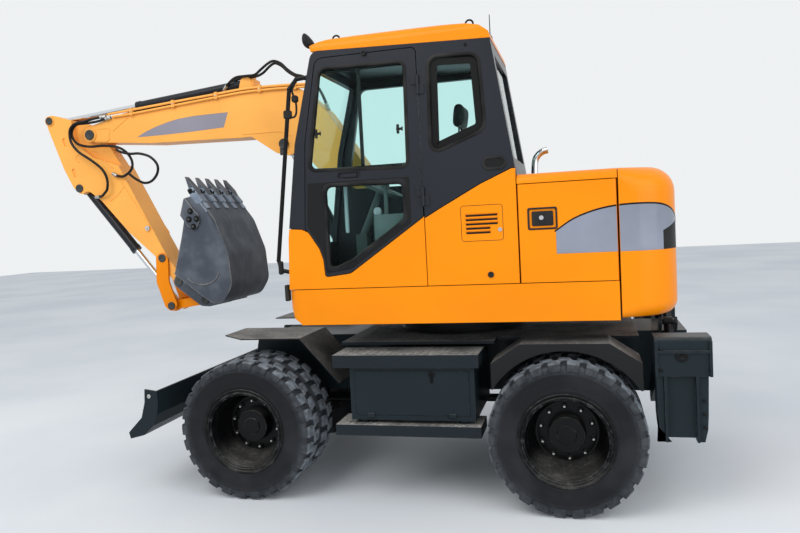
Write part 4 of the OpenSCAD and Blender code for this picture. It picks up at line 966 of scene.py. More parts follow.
roof_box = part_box("cab_roof")
roof_top = roof_box[1].z
circle = np.linspace(0, 2 * math.pi, 33)[:-1]
eyes = []
for x, z in ((0.629, roof_top - 0.012), (-0.269, roof_top - 0.018)):
    for y in (0.80, 0.24):
        centre = np.array([slew_x + x, y, z + 0.036])
        ring_grid = np.stack([centre + np.stack([(0.024 + 0.006 * np.cos(b)) * np.cos(circle),
                                                 0.006 * np.sin(b) + 0 * circle,
                                                 (0.024 + 0.006 * np.cos(b)) * np.sin(circle)], axis=-1)
                              for b in np.linspace(0, 2 * math.pi, 11)[:-1]], axis=1)
        eyes.append(outward(ring_grid.reshape(-1, 3), grid_faces(32, 10, True, True)))
        eyes.append(cap(np.array([slew_x + x, y, z - 0.006]), Z, 0.022, 0.014, 0.5))
add_parts("roof_eyes", eyes, black, "upper", 40)

lamp_px, lamp_y = (308.0, 42.0), 0.86
egg_centre = seen(*lamp_px, lamp_y)
v, u = np.meshgrid(np.linspace(0, math.pi, 18)[1:-1], turn, indexing="ij")
egg = np.stack([(0.036 - 0.012 * np.cos(v)) * np.sin(v) * np.cos(u) + 0.020 * np.cos(v),
                0.055 * np.sin(v) * np.sin(u), 0.053 * np.cos(v) * (1 + 0.1 * np.cos(v))], axis=-1) + egg_centre
arm_route = [egg_centre + [-0.02, -0.02, -0.02], egg_centre + [-0.06, -0.05, -0.05],
             [slew_x + 0.735, 0.80, roof_top - 0.075]]
lamp = outward(egg.reshape(-1, 3), tube_faces(*egg.shape[:2]))
add_parts("front_lamp", [lamp, tube(arm_route, 0.011, 12, 10)], plastic, "upper", 60)
aerial_foot = np.array([slew_x - 0.375, 0.60, roof_top - 0.055])
mast = [(0.016, 0), (0.016, 0.02), (0.008, 0.035), (0.0035, 0.04), (0.0025, 0.17), (0.0008, 0.172)]
aerial = outward(*turned(mast, aerial_foot, Z, 14, closed=False))
add_piece("aerial", *aerial, hose_rubber.material, "upper", 60)
print("pipe end", np.round(route[-1], 3), "egg", np.round(egg_centre, 3))

# %% [markdown]
# Pipes, hoses and stripe of the boom
#
# Oil goes along the boom in painted steel pipes, and over the joints in black rubber hoses, which need spare
# length because the joints bend them. Each hose is one smooth curve through a few points and ends in a zinc
# fitting.

# %% Boom pipes, stripe and plates
crop_left, crop_top, crop_zoom = 40, 20, 5.225


def crop(pairs, y):
    """Points of an enlarged cut-out of the photograph, seen in the plane at y."""
    return all_seen([(crop_left + a / crop_zoom, crop_top + b / crop_zoom) for a, b in pairs], y)


upper_pipe = crop([(356, 493), (500, 466), (700, 428), (900, 391), (1060, 361), (1210, 345), (1390, 333)],
                  boom_face + 0.013)
lower_pipe = crop([(380, 506), (500, 486), (700, 447), (900, 408), (1060, 378), (1210, 361), (1390, 348)],
                  boom_face + 0.013)
pipes = [tube(route, 0.0105, 60, 12) for route in (upper_pipe, lower_pipe)]
clamps = []
for share in (0.12, 0.34, 0.56, 0.78, 0.95):
    k = int(share * 59)
    a, b = smooth_path(upper_pipe, 60)[k], smooth_path(lower_pipe, 60)[k]
    middle = (a + b) / 2
    tall = abs(a[2] - b[2]) / 2 + 0.017
    clamps.append(block(middle - [0.016, 0.0135, tall], middle + [0.016, 0.014, tall], 0.003))
add_parts("boom_pipes", pipes + clamps, boom_orange, "boom", 40)
# A black plate behind the pipes: painted shadow in the gap between the pipes and the boom
behind = np.vstack([smooth_path(upper_pipe, 30)[3:], smooth_path(lower_pipe, 30)[:2:-1]])
behind = behind[:, [0, 2]] - [slew_x, 0]
add_piece("pipe_backing", *plate(behind, -0.004, 0.004, boom_left, 0.001), black.material, "boom", 40)
clamp_bolts = []
for corners, _ in clamps:
    low, high = corners.min(axis=0), corners.max(axis=0)
    clamp_bolts.append([(low[0] + high[0]) / 2, high[1], (low[2] + high[2]) / 2])
add_parts("boom_pipe_bolts", bolts(clamp_bolts, Y, 0.007, 0.006), zinc, "boom", 40)

stripe_grey = enamel("stripe_coat", "charcoal_paint", lin(0.55, 0.54, 0.58), 0.4, dust=0.1)
stripe_corners = crop([(508, 613), (545, 588), (600, 560), (660, 536), (720, 517), (800, 502), (900, 490),
                       (982, 482), (960, 561), (800, 583), (650, 600)], boom_face)
stripe_line = stripe_corners[:, [0, 2]] - [slew_x, 0]
stripe = [plate(stripe_line, -0.0004, 0.0006, boom_left, 0.0002),
          plate(stripe_line, -0.0004, 0.0006, boom_right, 0.0002)]
add_parts("boom_stripe", stripe, stripe_grey, "boom", 30)

bend_at = np.array([slew_x + 1.408, boom_y, 2.560])
pin_half = 0.1205
caps = pin_caps(bend_at, pin_half, 0.041, 0.010) + pin_caps(joint_at["arm_swing"], pin_half, 0.044, 0.010)
for side in (1, -1):
    tag = bend_at + [0.02, side * pin_half, -0.062]
    caps.append(block(tag - [0.016, 0.004, 0.03], tag + [0.016, 0.004, 0.03], 0.002))
add_parts("boom_pin_caps", caps, iron, "boom", 40)

welds = []
for plane_y in (boom_face, boom_y - boom_half):
    for route in ([(1058, 597), (1160, 590), (1258, 583), (1312, 606)], [(382, 580), (420, 545), (462, 508)],
                  [(275, 632), (352, 634), (362, 600), (360, 568), (300, 572)]):
        line = crop(route, boom_face)
        line[:, 1] = plane_y
        welds.append(tube(line, 0.0042, 26, 8))
add_parts("boom_welds", welds, boom_orange, "boom", 60)

# %% Hose bracket and the hoses over the boom
bracket_spot = (1092, 330)
bracket_at = crop([bracket_spot], boom_y)[0]
holder = [block(bracket_at + [-0.075, -0.06, -0.045], bracket_at + [0.055, 0.06, 0.02], 0.006),
          block(bracket_at + [-0.05, -0.045, 0.015], bracket_at + [0.03, 0.045, 0.05], 0.006)]
add_parts("hose_bracket", holder, boom_orange, "boom", 40)


def fitting(point, along, radius, length=0.055):
    """A hose's crimped end: a collar, a hexagon and a short neck, turned round the hose's direction."""
    profile = [(radius * 1.25, 0.0), (radius * 1.32, length * 0.1), (radius * 1.32, length * 0.55),
               (radius * 1.1, length * 0.6), (radius * 1.5, length * 0.65), (radius * 1.5, length * 0.95),
               (radius * 0.5, length)]
    return outward(*turned(profile, point, along, 12, closed=False))


top_routes = [
    (boom_y + 0.10, [(960, 368), (985, 332), (1022, 301), (1078, 292), (1122, 286), (1150, 262),
                     (1188, 229), (1220, 214), (1258, 227), (1292, 258), (1332, 284), (1385, 300),
                     (1455, 356), (1507, 468)]),
    (boom_y + 0.05, [(955, 372), (990, 342), (1030, 312), (1085, 301), (1132, 294), (1166, 276),
                     (1200, 242), (1228, 226), (1262, 240), (1296, 270), (1338, 294), (1392, 312),
                     (1462, 368), (1511, 472)])]


def hose(name, corners, y, radius, body, end_y=None):
    """A hose on a smooth curve through its corners; returns it and its route. With end_y its ends lie at that y,
    and it bulges out to y between them."""
    end_y = y if end_y is None else end_y
    levels = np.interp(np.linspace(0, 1, len(corners)), [0, 0.25, 0.8, 1], [end_y, y, y, end_y])
    route = smooth_path(np.vstack([crop([pair], level) for pair, level in zip(corners, levels)]), 90)
    piece = add_piece(name, *tube(route, radius, straight=True, sides=12), hose_rubber.material, body, 60)
    return piece, route


ends = []
for k, (y, corners) in enumerate(top_routes):
    piece, route = hose("boom_hose_%d" % (k + 1), corners, y, 0.0105, "boom", boom_y + 0.03 - 0.06 * k)
    for first, second in ((route[0], route[1]), (route[-1], route[-2])):
        ends.append(fitting(first, second - first, 0.0105))
add_parts("boom_hose_fittings", ends, zinc, "boom", 35)

# %% Hoses from the boom to the arm
arm_routes = [
    (0.022, [(344, 504), (290, 514), (235, 529), (188, 540), (160, 566), (155, 602), (166, 646), (202, 690),
             (270, 735), (325, 781), (350, 830), (352, 880), (338, 905), (320, 922), (292, 926)]),
    (0.000, [(370, 509), (300, 530), (240, 540), (190, 548), (166, 582), (172, 620), (202, 650), (260, 662),
             (330, 657), (400, 663), (450, 690), (480, 735), (478, 780), (440, 815), (404, 814), (380, 802)]),
    (0.018, [(396, 676), (424, 690), (470, 699), (520, 698), (575, 715), (612, 755), (613, 800), (585, 840),
             (545, 851), (500, 830), (466, 804)])]
boom_ends, arm_ends = [], []
for k, (y, corners) in enumerate(arm_routes[:2]):
    piece, route = hose("arm_hose_%d" % (k + 1), corners, y, 0.011, None, boom_face + 0.014)
    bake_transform(piece)
    boom_ends.append(fitting(route[0], route[1] - route[0], 0.011))
    arm_ends.append(fitting(route[-1], route[-2] - route[-1], 0.011))
add_parts("boom_end_fittings", boom_ends, zinc, "boom", 35)
add_parts("arm_end_fittings", arm_ends, zinc, "arm", 35)
y, corners = arm_routes[2]
hose("loop_hose", corners, y, 0.011, "arm")

# %% Arm caps, plug and welds
pin_at = {name: np.array([slew_x + x, boom_y, z]) for name, x, z in (
    ("arm_top", 3.640, 2.934), ("bucket_cylinder", 3.386, 2.322), ("rocker_foot", 2.597, 1.673),
    ("rocker_end", 2.539, 1.258), ("bucket_link", 2.200, 1.305), ("bucket_hinge", 2.439, 1.469))}
caps = pin_caps(pin_at["arm_top"], 0.1185, 0.034, 0.008)
caps += pin_caps(pin_at["bucket_cylinder"], 0.1095, 0.036, 0.012)
add_parts("arm_pin_caps", caps, iron, "arm", 40)
lines = []
for plane_y in (boom_face, boom_y - boom_half):
    for route in ([(428, 850), (500, 962), (602, 1115)], [(368, 945), (405, 915), (440, 870)],
                  [(205, 745), (186, 722), (205, 700)], [(330, 735), (385, 775)]):
        line = crop(route, boom_face)
        line[:, 1] = plane_y
        lines.append(tube(line, 0.0045, 24, 8))
add_parts("arm_welds", lines, boom_orange, "arm", 60)
plug_spot = (565, 1088)
plug_at = crop([plug_spot], boom_face)[0]
plug = [cap(plug_at, Y, 0.022, 0.016, 0.3)] + bolts([plug_at + [0, 0.014, 0]], Y, 0.012, 0.012)
add_parts("arm_plug", plug, bright, "arm", 40)
for body, half, radius, pins in (("rocker", 0.1325, 0.034, ("rocker_foot", "rocker_end")),
                                 ("bucket", 0.1525, 0.036, ("bucket_link", "bucket_hinge"))):
    caps = sum((pin_caps(pin_at[pin], half, radius, 0.009) for pin in pins), [])
    add_parts(body + "_pin_caps", caps, iron, body, 40)
print("hoses", len(arm_routes) + len(top_routes))

# %% [markdown]
# Bucket
#
# A digging bucket is made of plates that follow one curve, the shell. `strap` carries a flat bar along a
# stretch of that curve: the lip's wear plate, the second plate under it and the five ribs that run up into the
# tooth adapters. The side cutters are bolted plates.

# %% Bucket plates, ribs, adapters and cutters
half_bucket = 0.350
shell_corners = np.array([[2.120, 2.180], [1.960, 1.960], [1.868, 1.700], [1.850, 1.440], [1.960, 1.270],
                          [2.120, 1.385], [2.345, 1.560]]) + [slew_x, 0]
shell_line = rounded(shell_corners, [0, 0.2, 0.2, 0.13, 0.09, 0, 0], 14)


def strap(line, start, end, side_low, side_high, low, high, ease=0.002, count=24):
    """A flat bar from start to end metres along a line in the XZ plane, between two heights above it."""
    steps = np.linalg.norm(np.diff(line, axis=0), axis=1)
    metres = np.concatenate([[0], np.cumsum(steps)])
    at = np.linspace(start, end, count)
    spot = np.stack([np.interp(at, metres, line[:, k]) for k in (0, 1)], axis=1)
    slope = np.gradient(spot, axis=0)
    slope /= np.linalg.norm(slope, axis=1)[:, None]
    out = np.stack([slope[:, 1], -slope[:, 0]], axis=1)
    profile = [(side_low, low), (side_low, high - ease), (side_low + ease, high), (side_high - ease, high),
               (side_high, high - ease), (side_high, low)]
    rows = [(spot + out * h, np.full(count, boom_y + y)) for y, h in profile]
    grid = np.stack([np.stack([flat[:, 0], side, flat[:, 1]], axis=1) for flat, side in rows], axis=1)
    return outward(grid.reshape(-1, 3), tube_faces(count, len(profile)))


# Light bluish tone on the lip's plates, ribs and adapters: painted sky light, much lighter than the bucket's grey
plate_painted_light = Finish("wear_plate_coat", "bucket_grey", lin(0.44, 0.49, 0.55), 0.36, sheen=0.4)
rubbed = plate_painted_light.step(plate_painted_light.noise(11, 6, (0.6, 2.5, 0.6)), 0.35, 0.7)
plate_painted_light.paint(plate_painted_light.blend(rubbed, lin(0.4, 0.45, 0.52), lin(0.52, 0.57, 0.62)),
                 plate_painted_light.step(plate_painted_light.noise(60, 4), 0.2, 0.8, 0.3, 0.5))
plate_painted_light.relief(plate_painted_light.noise(35, 5), 0.1, 0.003, 0.002)
seam_black = Finish("seam_black", "black_paint", lin(0.05, 0.052, 0.058), 0.7)
seam_tone = seam_black.blend(seam_black.noise(30, 3), lin(0.04, 0.042, 0.047), lin(0.07, 0.072, 0.08))
seam_black.paint(seam_tone, 0.7)

lip_end, second_end = 0.175, 0.285
plates = [strap(shell_line, 0.004, lip_end, -half_bucket - 0.006, half_bucket + 0.006, -0.001, 0.011),
          strap(shell_line, lip_end + 0.006, second_end, -half_bucket, half_bucket, -0.001, 0.006),
          strap(shell_line, second_end + 0.006, 0.52, -half_bucket, half_bucket, -0.001, 0.003)]
add_parts("bucket_plates", plates, plate_painted_light, "bucket", 30)
seams = [strap(shell_line, at - 0.001, at + 0.007, -half_bucket, half_bucket, 0.0005, high, 0.001, 4)
         for at, high in ((lip_end, 0.0065), (second_end, 0.0035))]
add_parts("bucket_seams", seams, seam_black, "bucket", 30)

tooth_count, tooth_spread = 5, 0.63
tooth_y = np.linspace(-0.5, 0.5, tooth_count) * tooth_spread
ribs, collars = [], []
adapter = np.array([[2.040, 2.128], [2.098, 2.100], [2.152, 2.165], [2.176, 2.238], [2.128, 2.246]])
adapter = rounded(adapter + [slew_x, 0], 0.008, 4)
collar = np.array([[2.120, 2.202], [2.160, 2.188], [2.180, 2.226], [2.140, 2.240]])
collar = rounded(collar + [slew_x, 0], 0.008, 4)
for y in tooth_y:
    ribs.append(strap(shell_line, 0.0, 0.150, y - 0.026, y + 0.026, 0.008, 0.026, 0.004))
    plane = (np.array([0, boom_y + y - 0.038, 0]), X, Z, Y)
    ribs.append(plate(adapter, 0, 0.076, plane, 0.006))
    for side in (-0.040, 0.028):
        plane = (np.array([0, boom_y + y + side, 0]), X, Z, Y)
        collars.append(plate(collar, 0, 0.012, plane, 0.003))
    low, high = [slew_x + 2.108, boom_y + y - 0.041, 2.196], [slew_x + 2.124, boom_y + y + 0.041, 2.222]
    collars.append(block(low, high, 0.004))
add_parts("bucket_ribs", ribs, plate_painted_light, "bucket", 32)
add_parts("tooth_collars", collars, seam_black, "bucket", 32)

cutter_px = [(184.6, 197.0), (189.5, 202.5), (193.5, 208.5), (199.5, 214.5), (200.5, 222.5), (196.5, 230.0),
             (189.0, 227.0), (181.0, 215.5)]
bolt_px = [(190.2, 219.4), (197.6, 218.8), (194.6, 226.6), (191.4, 211.2)]
weld_px = [(188.7, 278.5), (190.5, 281.0), (195.8, 283.8), (203.4, 284.9), (211.0, 283.0), (216.4, 278.5),
           (219.0, 273.0)]
cutter_line, bolt_line, weld_line = (all_seen(line, boom_y + half_bucket)
                                     for line in (cutter_px, bolt_px, weld_px))
cutter_outline = rounded(cutter_line[:, [0, 2]], 0.012, 5)
cutters, heads, washers = [], [], []
for side in (1, -1):
    plane = (np.array([0, boom_y + side * half_bucket, 0]), X, Z, Y * side)
    cutters.append(plate(cutter_outline, -0.001, 0.017, plane, 0.003))
    for spot in bolt_line:
        seat = np.array([spot[0], boom_y + side * (half_bucket + 0.017), spot[2]])
        washers.append(cap(seat, Y * side, 0.024, 0.006, 0.5))
        heads.append(seat + Y * side * 0.004)
    weld_line[:, 1] = boom_y + side * half_bucket
    cutters.append(tube(weld_line, 0.007, 40, 8))
add_parts("side_cutters", cutters, bucket_finish, "bucket", 32)
add_parts("cutter_washers", washers, seam_black, "bucket", 32)
turned_heads = [bolts([h], Y * (1 if h[1] > boom_y else -1), 0.014, 0.012)[0] for h in heads]
add_parts("cutter_bolts", turned_heads, iron, "bucket", 32)
print("bucket pieces", len(ribs) + len(collars) + len(cutters))

# %% [markdown]
# Undercarriage fittings
#
# Tool boxes have doors with hinges and a latch, the steps a raised grip pattern, the axles hoses, and a belly
# pan closes the upper body from below. All of them are blocks, plates and bolts on the skeleton's plates.

# %% Tool-box doors, step treads, belly pan
rear_x, front_x = axle_at["rear_left"][0], axle_at["front_left"][0]
box_low = np.array([rear_x + 0.560, 0.575])
box_high = np.array([front_x - 0.783, 0.930])
doors, latches, grips = [], [], []
grip_count = 18
grip_pitch = (box_high[0] - box_low[0] + 0.02) / (grip_count - 1)
for side in (1, -1):
    face = side * 0.960
    plane = (np.array([0, face, 0]), X, Z, Y * side)
    door = np.array([[box_low[0] + 0.035, box_low[1] + 0.035], [box_high[0] - 0.035, box_low[1] + 0.035],
                     [box_high[0] - 0.035, box_high[1] - 0.025], [box_low[0] + 0.035, box_high[1] - 0.025]])
    doors.append(plate(rounded(door, 0.012, 4), -0.001, 0.005, plane, 0.002))
    for x in (door[0][0] + 0.09, door[1][0] - 0.13):
        low, high = sorted((face + side * 0.002, face + side * 0.016))
        doors.append(block([x, low, box_low[1] + 0.022], [x + 0.05, high, box_low[1] + 0.05], 0.004))
    middle = (door[0] + door[1]) / 2 + [0.0, 0.27]
    latches.append(cap([middle[0] - 0.14, face + side * 0.004, middle[1]], Y * side, 0.020, 0.010))
    low, high = sorted((face + side * 0.004, face + side * 0.018))
    latches.append(block([middle[0] - 0.147, low, middle[1] - 0.055],
                         [middle[0] - 0.133, high, middle[1] + 0.01], 0.004))
    low, high = sorted((side * 0.760, side * 0.975))
    for k in range(grip_count):
        x = rear_x + 0.565 + k * grip_pitch
        for z in (0.5485, 1.0135):
            grips.append(block([x - 0.008, low, z], [x + 0.008, high, z + 0.004], 0.0015))
add_parts("box_doors", doors, slate, "chassis", 32)
add_parts("box_latches", latches, black, "chassis", 32)
add_parts("step_grips", grips, deck_slate, "chassis", 32)

pan = block([slew_x - 1.08, -0.62, 1.168], [slew_x - 0.50, 0.62, 1.2125], 0.012)
add_piece("belly_pan", *pan, seam_black.material, "upper", 32)

# %% Outrigger, blade and axle fittings
both_sides = ((1, "left"), (-1, "right"))
head_face, leg_face = 0.984, 0.971
for side, name in both_sides:
    foot_bolts = [bolts([[x, side * head_face, z]], Y * side, 0.012, 0.010)[0]
                  for x in (rear_x - 0.836, rear_x - 0.562) for z in (0.915, 1.035)]
    leg_spots = [[rear_x - 0.800, side * leg_face, z] for z in (0.57, 0.65, 0.73)]
    foot_bolts += bolts(leg_spots, Y * side, 0.010, 0.008)
    add_parts("outrigger_bolts_" + name, foot_bolts, black, "outrigger_" + name, 32)
for side, name in both_sides:
    pad = cap([rear_x - 0.680, side * head_face, 1.000], Y * side, 0.034, 0.012)
    add_piece("outrigger_cap_" + name, *pad, black.material, "outrigger_" + name, 32)

blade_bolts = [bolts([[front_x + 0.700, side * 1.040, 0.735]], Y * side, 0.016, 0.008)[0] for side in (1, -1)]
add_parts("blade_bolts", blade_bolts, zinc, "blade", 32)

front_hose = np.array([[-0.20, 0.20, 0.66], [-0.16, 0.24, 0.60], [-0.10, 0.30, 0.585], [-0.05, 0.34, 0.56]])
rear_hose = np.array([[0.30, 0.20, 0.62], [0.20, 0.30, 0.585], [0.10, 0.36, 0.57], [0.02, 0.40, 0.545]])
lines = [tube(route * [1, side, 1] + [axle_x, 0, 0], 0.009, 30)
         for side in (1, -1) for axle_x, route in ((front_x, front_hose), (rear_x, rear_hose))]
add_parts("axle_hoses", lines, hose_rubber, "chassis", 60)
print("undercarriage fittings", len(doors) + len(latches) + len(grips))

# %% [markdown]
# More of the cab's door, the pillar and the louvres
#
# Below the window sill the door's pane is wider than what one looks through: its border is printed black from
# behind. `hole_in` makes such a skin between an outline and a hole by cutting both with rays from one centre.

# %% Printed pane, knobs, rear handle, painted shade in the louvre slots
def reach(outline, centre, angles):
    """Along each angle, the distance from centre to the farthest crossing with a closed outline."""
    first, second = outline - centre, np.roll(outline, -1, 0) - centre
    ray = np.stack([np.cos(angles), np.sin(angles)], axis=1)[:, None, :]
    edge = (second - first)[None]
    twist = lambda p, q: p[..., 0] * q[..., 1] - p[..., 1] * q[..., 0]
    flat = twist(ray, edge)
    flat = np.where(np.abs(flat) < 1e-9, 1e-9, flat)
    far = twist(first[None], edge) / flat
    share = twist(first[None], ray) / flat
    return np.where((share >= -1e-6) & (share <= 1 + 1e-6) & (far > 0), far, 0).max(axis=1)


def hole_in(outline, hole, centre, low, high, plane):
    """A skin between two heights that fills an outline apart from a hole in it."""
    angles = np.concatenate([np.linspace(-math.pi, math.pi, 121)[:-1]] +
                            [np.arctan2(*(line - centre).T[::-1]) for line in (outline, hole)])
    angles = np.unique(np.round(angles, 5))
    ray = np.stack([np.cos(angles), np.sin(angles)], axis=1)
    outer = centre + ray * reach(outline, centre, angles)[:, None]
    inner = centre + ray * reach(hole, centre, angles)[:, None]
    walls = ((outer, low), (outer, high), (inner, high), (inner, low))
    grid = np.stack([on_plane(line, h, plane) for line, h in walls], axis=1)
    return outward(grid.reshape(-1, 3), grid_faces(len(angles), 4, True, True))


# Glossy black for the printed border, and as painted shade in the louvre slots
print_and_shade_black = Finish("printed_black", "black_paint", lin(0.03, 0.03, 0.033), 0.14, sheen=0.3)
print_and_shade_tone = print_and_shade_black.blend(print_and_shade_black.noise(3, 3), lin(0.025, 0.026, 0.028), lin(0.045, 0.046, 0.05))
print_and_shade_black.paint(print_and_shade_tone, 0.14)
pane_edge_px = (307.2, 175)
pane_edge = seen(*pane_edge_px, upper_side)[0] - slew_x
pane = rounded([[0.134, 2.160], [0.134, 1.868], [0.552, 1.585], [0.728, 1.560], [0.734, 1.655], [0.756, 1.729],
                [0.818, 1.833], [0.846, 1.872], [pane_edge, 2.160]],
               [0.01, 0.02, 0.05, 0.02, 0.05, 0.05, 0.1, 0.03, 0.01])
opening = rounded([[0.156, 2.156], [0.156, 1.880], [0.543, 1.619], [0.660, 1.574], [0.722, 1.587],
                   [0.724, 2.155]], [0.04, 0.06, 0.1, 0.03, 0.03, 0.05])
add_piece("printed_pane", *hole_in(pane, opening, np.array([0.5, 1.95]), 0.0002, 0.0014, left_side),
          print_and_shade_black.material, "cab_door", 30)

knob_px, button_px, grip_px = (363.7, 53.3), (465.3, 44.5), (494.0, 163.0)
knob = cap(seen(*knob_px, upper_side), Y, 0.017, 0.016, 0.4)
add_piece("door_knob", *knob, plastic.material, "cab_door", 40)
spots = [cap(seen(*button_px, upper_side), Y, 0.010, 0.006, 0.4)]
x, _, z = seen(*grip_px, upper_side)
grip = np.array([[-0.062, -0.030], [0.062, -0.030], [0.062, 0.030], [-0.062, 0.030]])
grip = rounded(grip + [x - slew_x, z], 0.028, 9)
grip_rim = [(-0.012, 0.0003), (-0.012, 0.004), (-0.004, 0.010), (0.004, 0.006), (0.006, 0.0003)]
spots.append(plate(grip, -0.0005, 0.0012, left_side, 0.0005))
add_parts("rear_grip_recess", spots, print_and_shade_black, "upper", 40)
add_piece("rear_grip_rim", *band(grip, grip_rim, left_side), plastic.material, "upper", 50)

# Dark blocks behind the louvre lips: painted shade inside the slots
slots = []
for i, x0 in enumerate(louvre_start):
    z = louvre_z - 0.012 + louvre_pitch * i
    low, high = (x0 + 0.005, upper_side - 0.0118, z), (slew_x - 0.217, upper_side - 0.005, z + 0.011)
    slots.append(block(low, high, 0.001))
add_parts("louvre_dark", slots, print_and_shade_black, "upper", 40)

# %% Clamps of the grab rail, things inside the cab
rail_y = upper_side - 0.020
# Each clamp: its pixel, its half sizes along X and Z
clamp_px = [((294.8, 99.0), 0.020, 0.022), ((287.6, 114.8), 0.026, 0.028), ((281.0, 268.0), 0.014, 0.045)]
stop_px = (287.6, 293.0)
hook_px = [(287.6, 114.8), (293.0, 117.5), (296.0, 114.0), (296.3, 106.0), (294.8, 99.0), (292.0, 91.0),
           (294.5, 84.0)]
clamps = []
for pixel, half_x, half_z in clamp_px:
    x, _, z = seen(*pixel, rail_y)
    low, high = [x - half_x, rail_y - 0.022, z - half_z], [x + half_x, rail_y + 0.018, z + half_z]
    clamps.append(block(low, high, 0.008))
x, _, z = seen(*stop_px, rail_y - 0.02)
clamps.append(block([x - 0.014, rail_y - 0.05, z - 0.055], [x + 0.014, rail_y - 0.004, z + 0.055], 0.005))
clamps.append(tube(all_seen(hook_px, rail_y - 0.004), 0.007, 40, 10))
add_parts("rail_clamps", clamps, plastic, "upper", 45)

console_grey = moulded("console_grey", "dark_plastic", lin(0.36, 0.4, 0.4), 0.55)
dress(console_grey, "controls")
pale_plastic = moulded("pale_plastic", "dark_plastic", lin(0.62, 0.64, 0.66), 0.45)
upright_px = [(347.9, 233), (347.4, 178)]
ball_px = (377.8, 211.5)
lever_px = [(378.2, 238), (377.9, 224)]
low, high = all_seen(upright_px, 0.90)
inside = [block([low[0] - 0.012, 0.89, low[2]], [low[0] + 0.012, 0.91, high[2]], 0.005)]
ball = [(0.012, -0.02), (0.026, -0.012), (0.03, 0.0), (0.026, 0.012), (0.010, 0.018)]
inside.append(outward(*turned(ball, seen(*ball_px, 0.84), Y, 24, closed=False)))
add_parts("pale_fittings", inside, pale_plastic, "upper", 50)
red_plastic = moulded("red_plastic", "dark_plastic", lin(0.72, 0.2, 0.2), 0.5)
low, high = all_seen(lever_px, 0.84)
add_piece("red_lever", *block([low[0] - 0.006, 0.834, low[2]], [low[0] + 0.006, 0.846, high[2]], 0.002),
          red_plastic.material, "upper", 50)
print("printed pane reaches", round(float(pane_edge), 3))

# %% [markdown]
# Seat
#
# The seat's three pads are inflated by Blender's cloth: each starts as a slightly smaller block, is remeshed
# into even squares, and a pressure inside pushes it out for twenty frames, which crowns its faces and pulls its
# sides in between the corners. No point may travel further than `travel`.

# %% Seat pads by cloth simulation
def inflated(points, faces, voxel=0.008, travel=0.014, last_frame=20):
    """Points and faces of a block after its remeshed skin has been blown up like cloth."""
    mesh = bpy.data.meshes.new("pad_start")
    mesh.from_pydata(np.asarray(points).tolist(), [], faces)
    work = bpy.data.objects.new("pad_start", mesh)
    scene.collection.objects.link(work)
    grid = work.modifiers.new("even_squares", "REMESH")
    grid.mode, grid.voxel_size = "VOXEL", voxel
    dense = bpy.data.meshes.new_from_object(work.evaluated_get(bpy.context.evaluated_depsgraph_get()))
    work.modifiers.clear()
    work.data = dense
    before = np.empty(len(dense.vertices) * 3)
    dense.vertices.foreach_get("co", before)
    before = before.reshape(-1, 3)
    after = before.copy()
    air = work.modifiers.new("air", "CLOTH")
    air.settings.use_pressure = True
    air.settings.uniform_pressure_force = 4.0
    air.settings.quality = 5
    air.settings.effector_weights.gravity = 0.0
    air.point_cache.frame_start, air.point_cache.frame_end = 1, last_frame
    for number in range(1, last_frame + 1):
        scene.frame_set(number)
    blown = work.evaluated_get(bpy.context.evaluated_depsgraph_get()).data
    flat = np.empty(len(blown.vertices) * 3)
    blown.vertices.foreach_get("co", flat)
    after = flat.reshape(-1, 3)
    scene.frame_set(1)
    move = after - before
    far = np.linalg.norm(move, axis=1)[:, None]
    after = before + move * np.minimum(1, travel / np.maximum(far, 1e-9))
    squares = [list(p.vertices) for p in dense.polygons]
    bpy.data.objects.remove(work)
    return after, squares


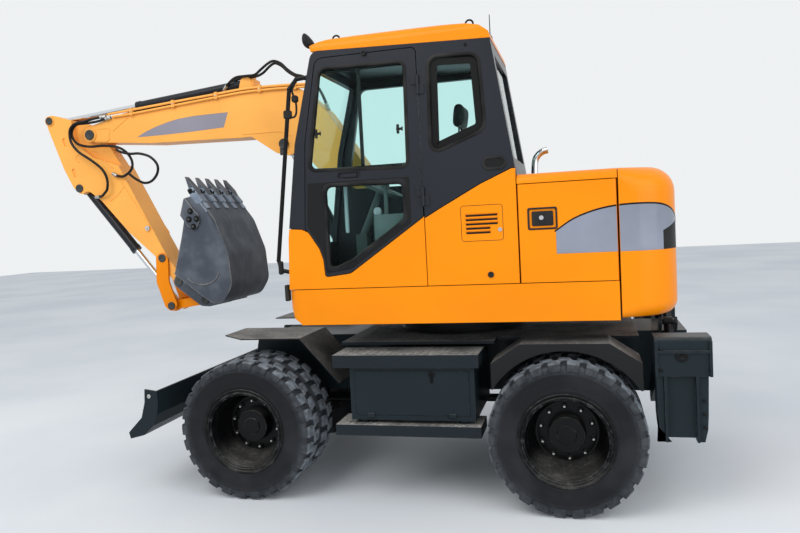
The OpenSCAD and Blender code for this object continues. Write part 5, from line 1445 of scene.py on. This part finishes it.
seat_low, seat_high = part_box("seat")
seat_spot = np.array([slew_x + 0.120, (seat_low.y + seat_high.y) / 2, seat_low.z])
seat_half = (seat_high.y - seat_low.y) / 2
pads = [("seat_cushion", seat_half - 0.014, [[-0.205, 0.276], [0.265, 0.292], [0.272, 0.362], [-0.205, 0.345]]),
        ("seat_backrest", 0.216, [[-0.226, 0.372], [-0.142, 0.372], [-0.203, 0.940], [-0.286, 0.932]]),
        ("seat_headrest", 0.118, [[-0.283, 0.988], [-0.219, 0.992], [-0.238, 1.146], [-0.301, 1.138]])]
for name, half, outline in pads:
    side = (seat_spot, X, Z, Y)
    start = plate(rounded(outline, 0.028, 6), -half, half, side, 0.012)
    pad = add_piece(name, *inflated(*start), cloth.material, "upper", 80)
    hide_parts("seat")
    finer = pad.modifiers.new("finer", "SUBSURF")
    finer.levels = finer.render_levels = 1
stand = [block(seat_spot + [-0.16, -0.17, 0], seat_spot + [0.20, 0.17, 0.262], 0.012)]
for y in (-0.05, 0.05):
    stand.append(tube([seat_spot + [-0.248, y, 0.915], seat_spot + [-0.256, y, 1.02]], 0.006, 6, 10))
foot = add_parts("seat_stand", stand, plastic, "upper", 40)
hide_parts("seat")
print("seat pads", [name for name, _, _ in pads])

# %% [markdown]
# Outrigger flange and ring guard
#
# The outrigger's leg is an I section seen from its flange's edge. A curved plate stands in front of the web,
# and the slew ring has a bolted guard round it.

# %% Outrigger flange and ring guard
flange = rounded([[-0.533, 0.879], [-0.579, 0.879], [-0.579, 0.481], [-0.556, 0.481], [-0.542, 0.560],
                  [-0.536, 0.640]], [0, 0, 0.01, 0.02, 0.1, 0.1], 6)
for side, name in both_sides:
    plane = (np.array([rear_x, 0, 0]), X, Z, Y * side)
    leg = plate(flange, 0.854, 0.968, plane, 0.003)
    add_piece("leg_flange_" + name, *leg, slate.material, "outrigger_" + name, 32)
deck_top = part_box("deck")[0].z + 0.020
guard = [(0.430, 0.0), (0.468, 0.0), (0.468, 0.012), (0.452, 0.016), (0.452, 0.078), (0.440, 0.084),
         (0.400, 0.084), (0.400, 0.092), (0.380, 0.094), (0.380, 0.030), (0.430, 0.028)]
ring_centre = np.array([slew_x, 0, deck_top])
bolt_count, bolt_circle = 24, 0.424
ring_bolts = []
for k in range(bolt_count):
    a = k * 2 * math.pi / bolt_count
    at = ring_centre + [bolt_circle * math.cos(a), bolt_circle * math.sin(a), 0.083]
    ring_bolts.append(bolts([at], Z, 0.012, 0.010)[0])
add_piece("ring_guard", *outward(*turned(guard, ring_centre, Z, 96)), black.material, "chassis", 40)
add_parts("ring_bolts", ring_bolts, zinc, "chassis", 32)
print("flanges and guard", len(ring_bolts))
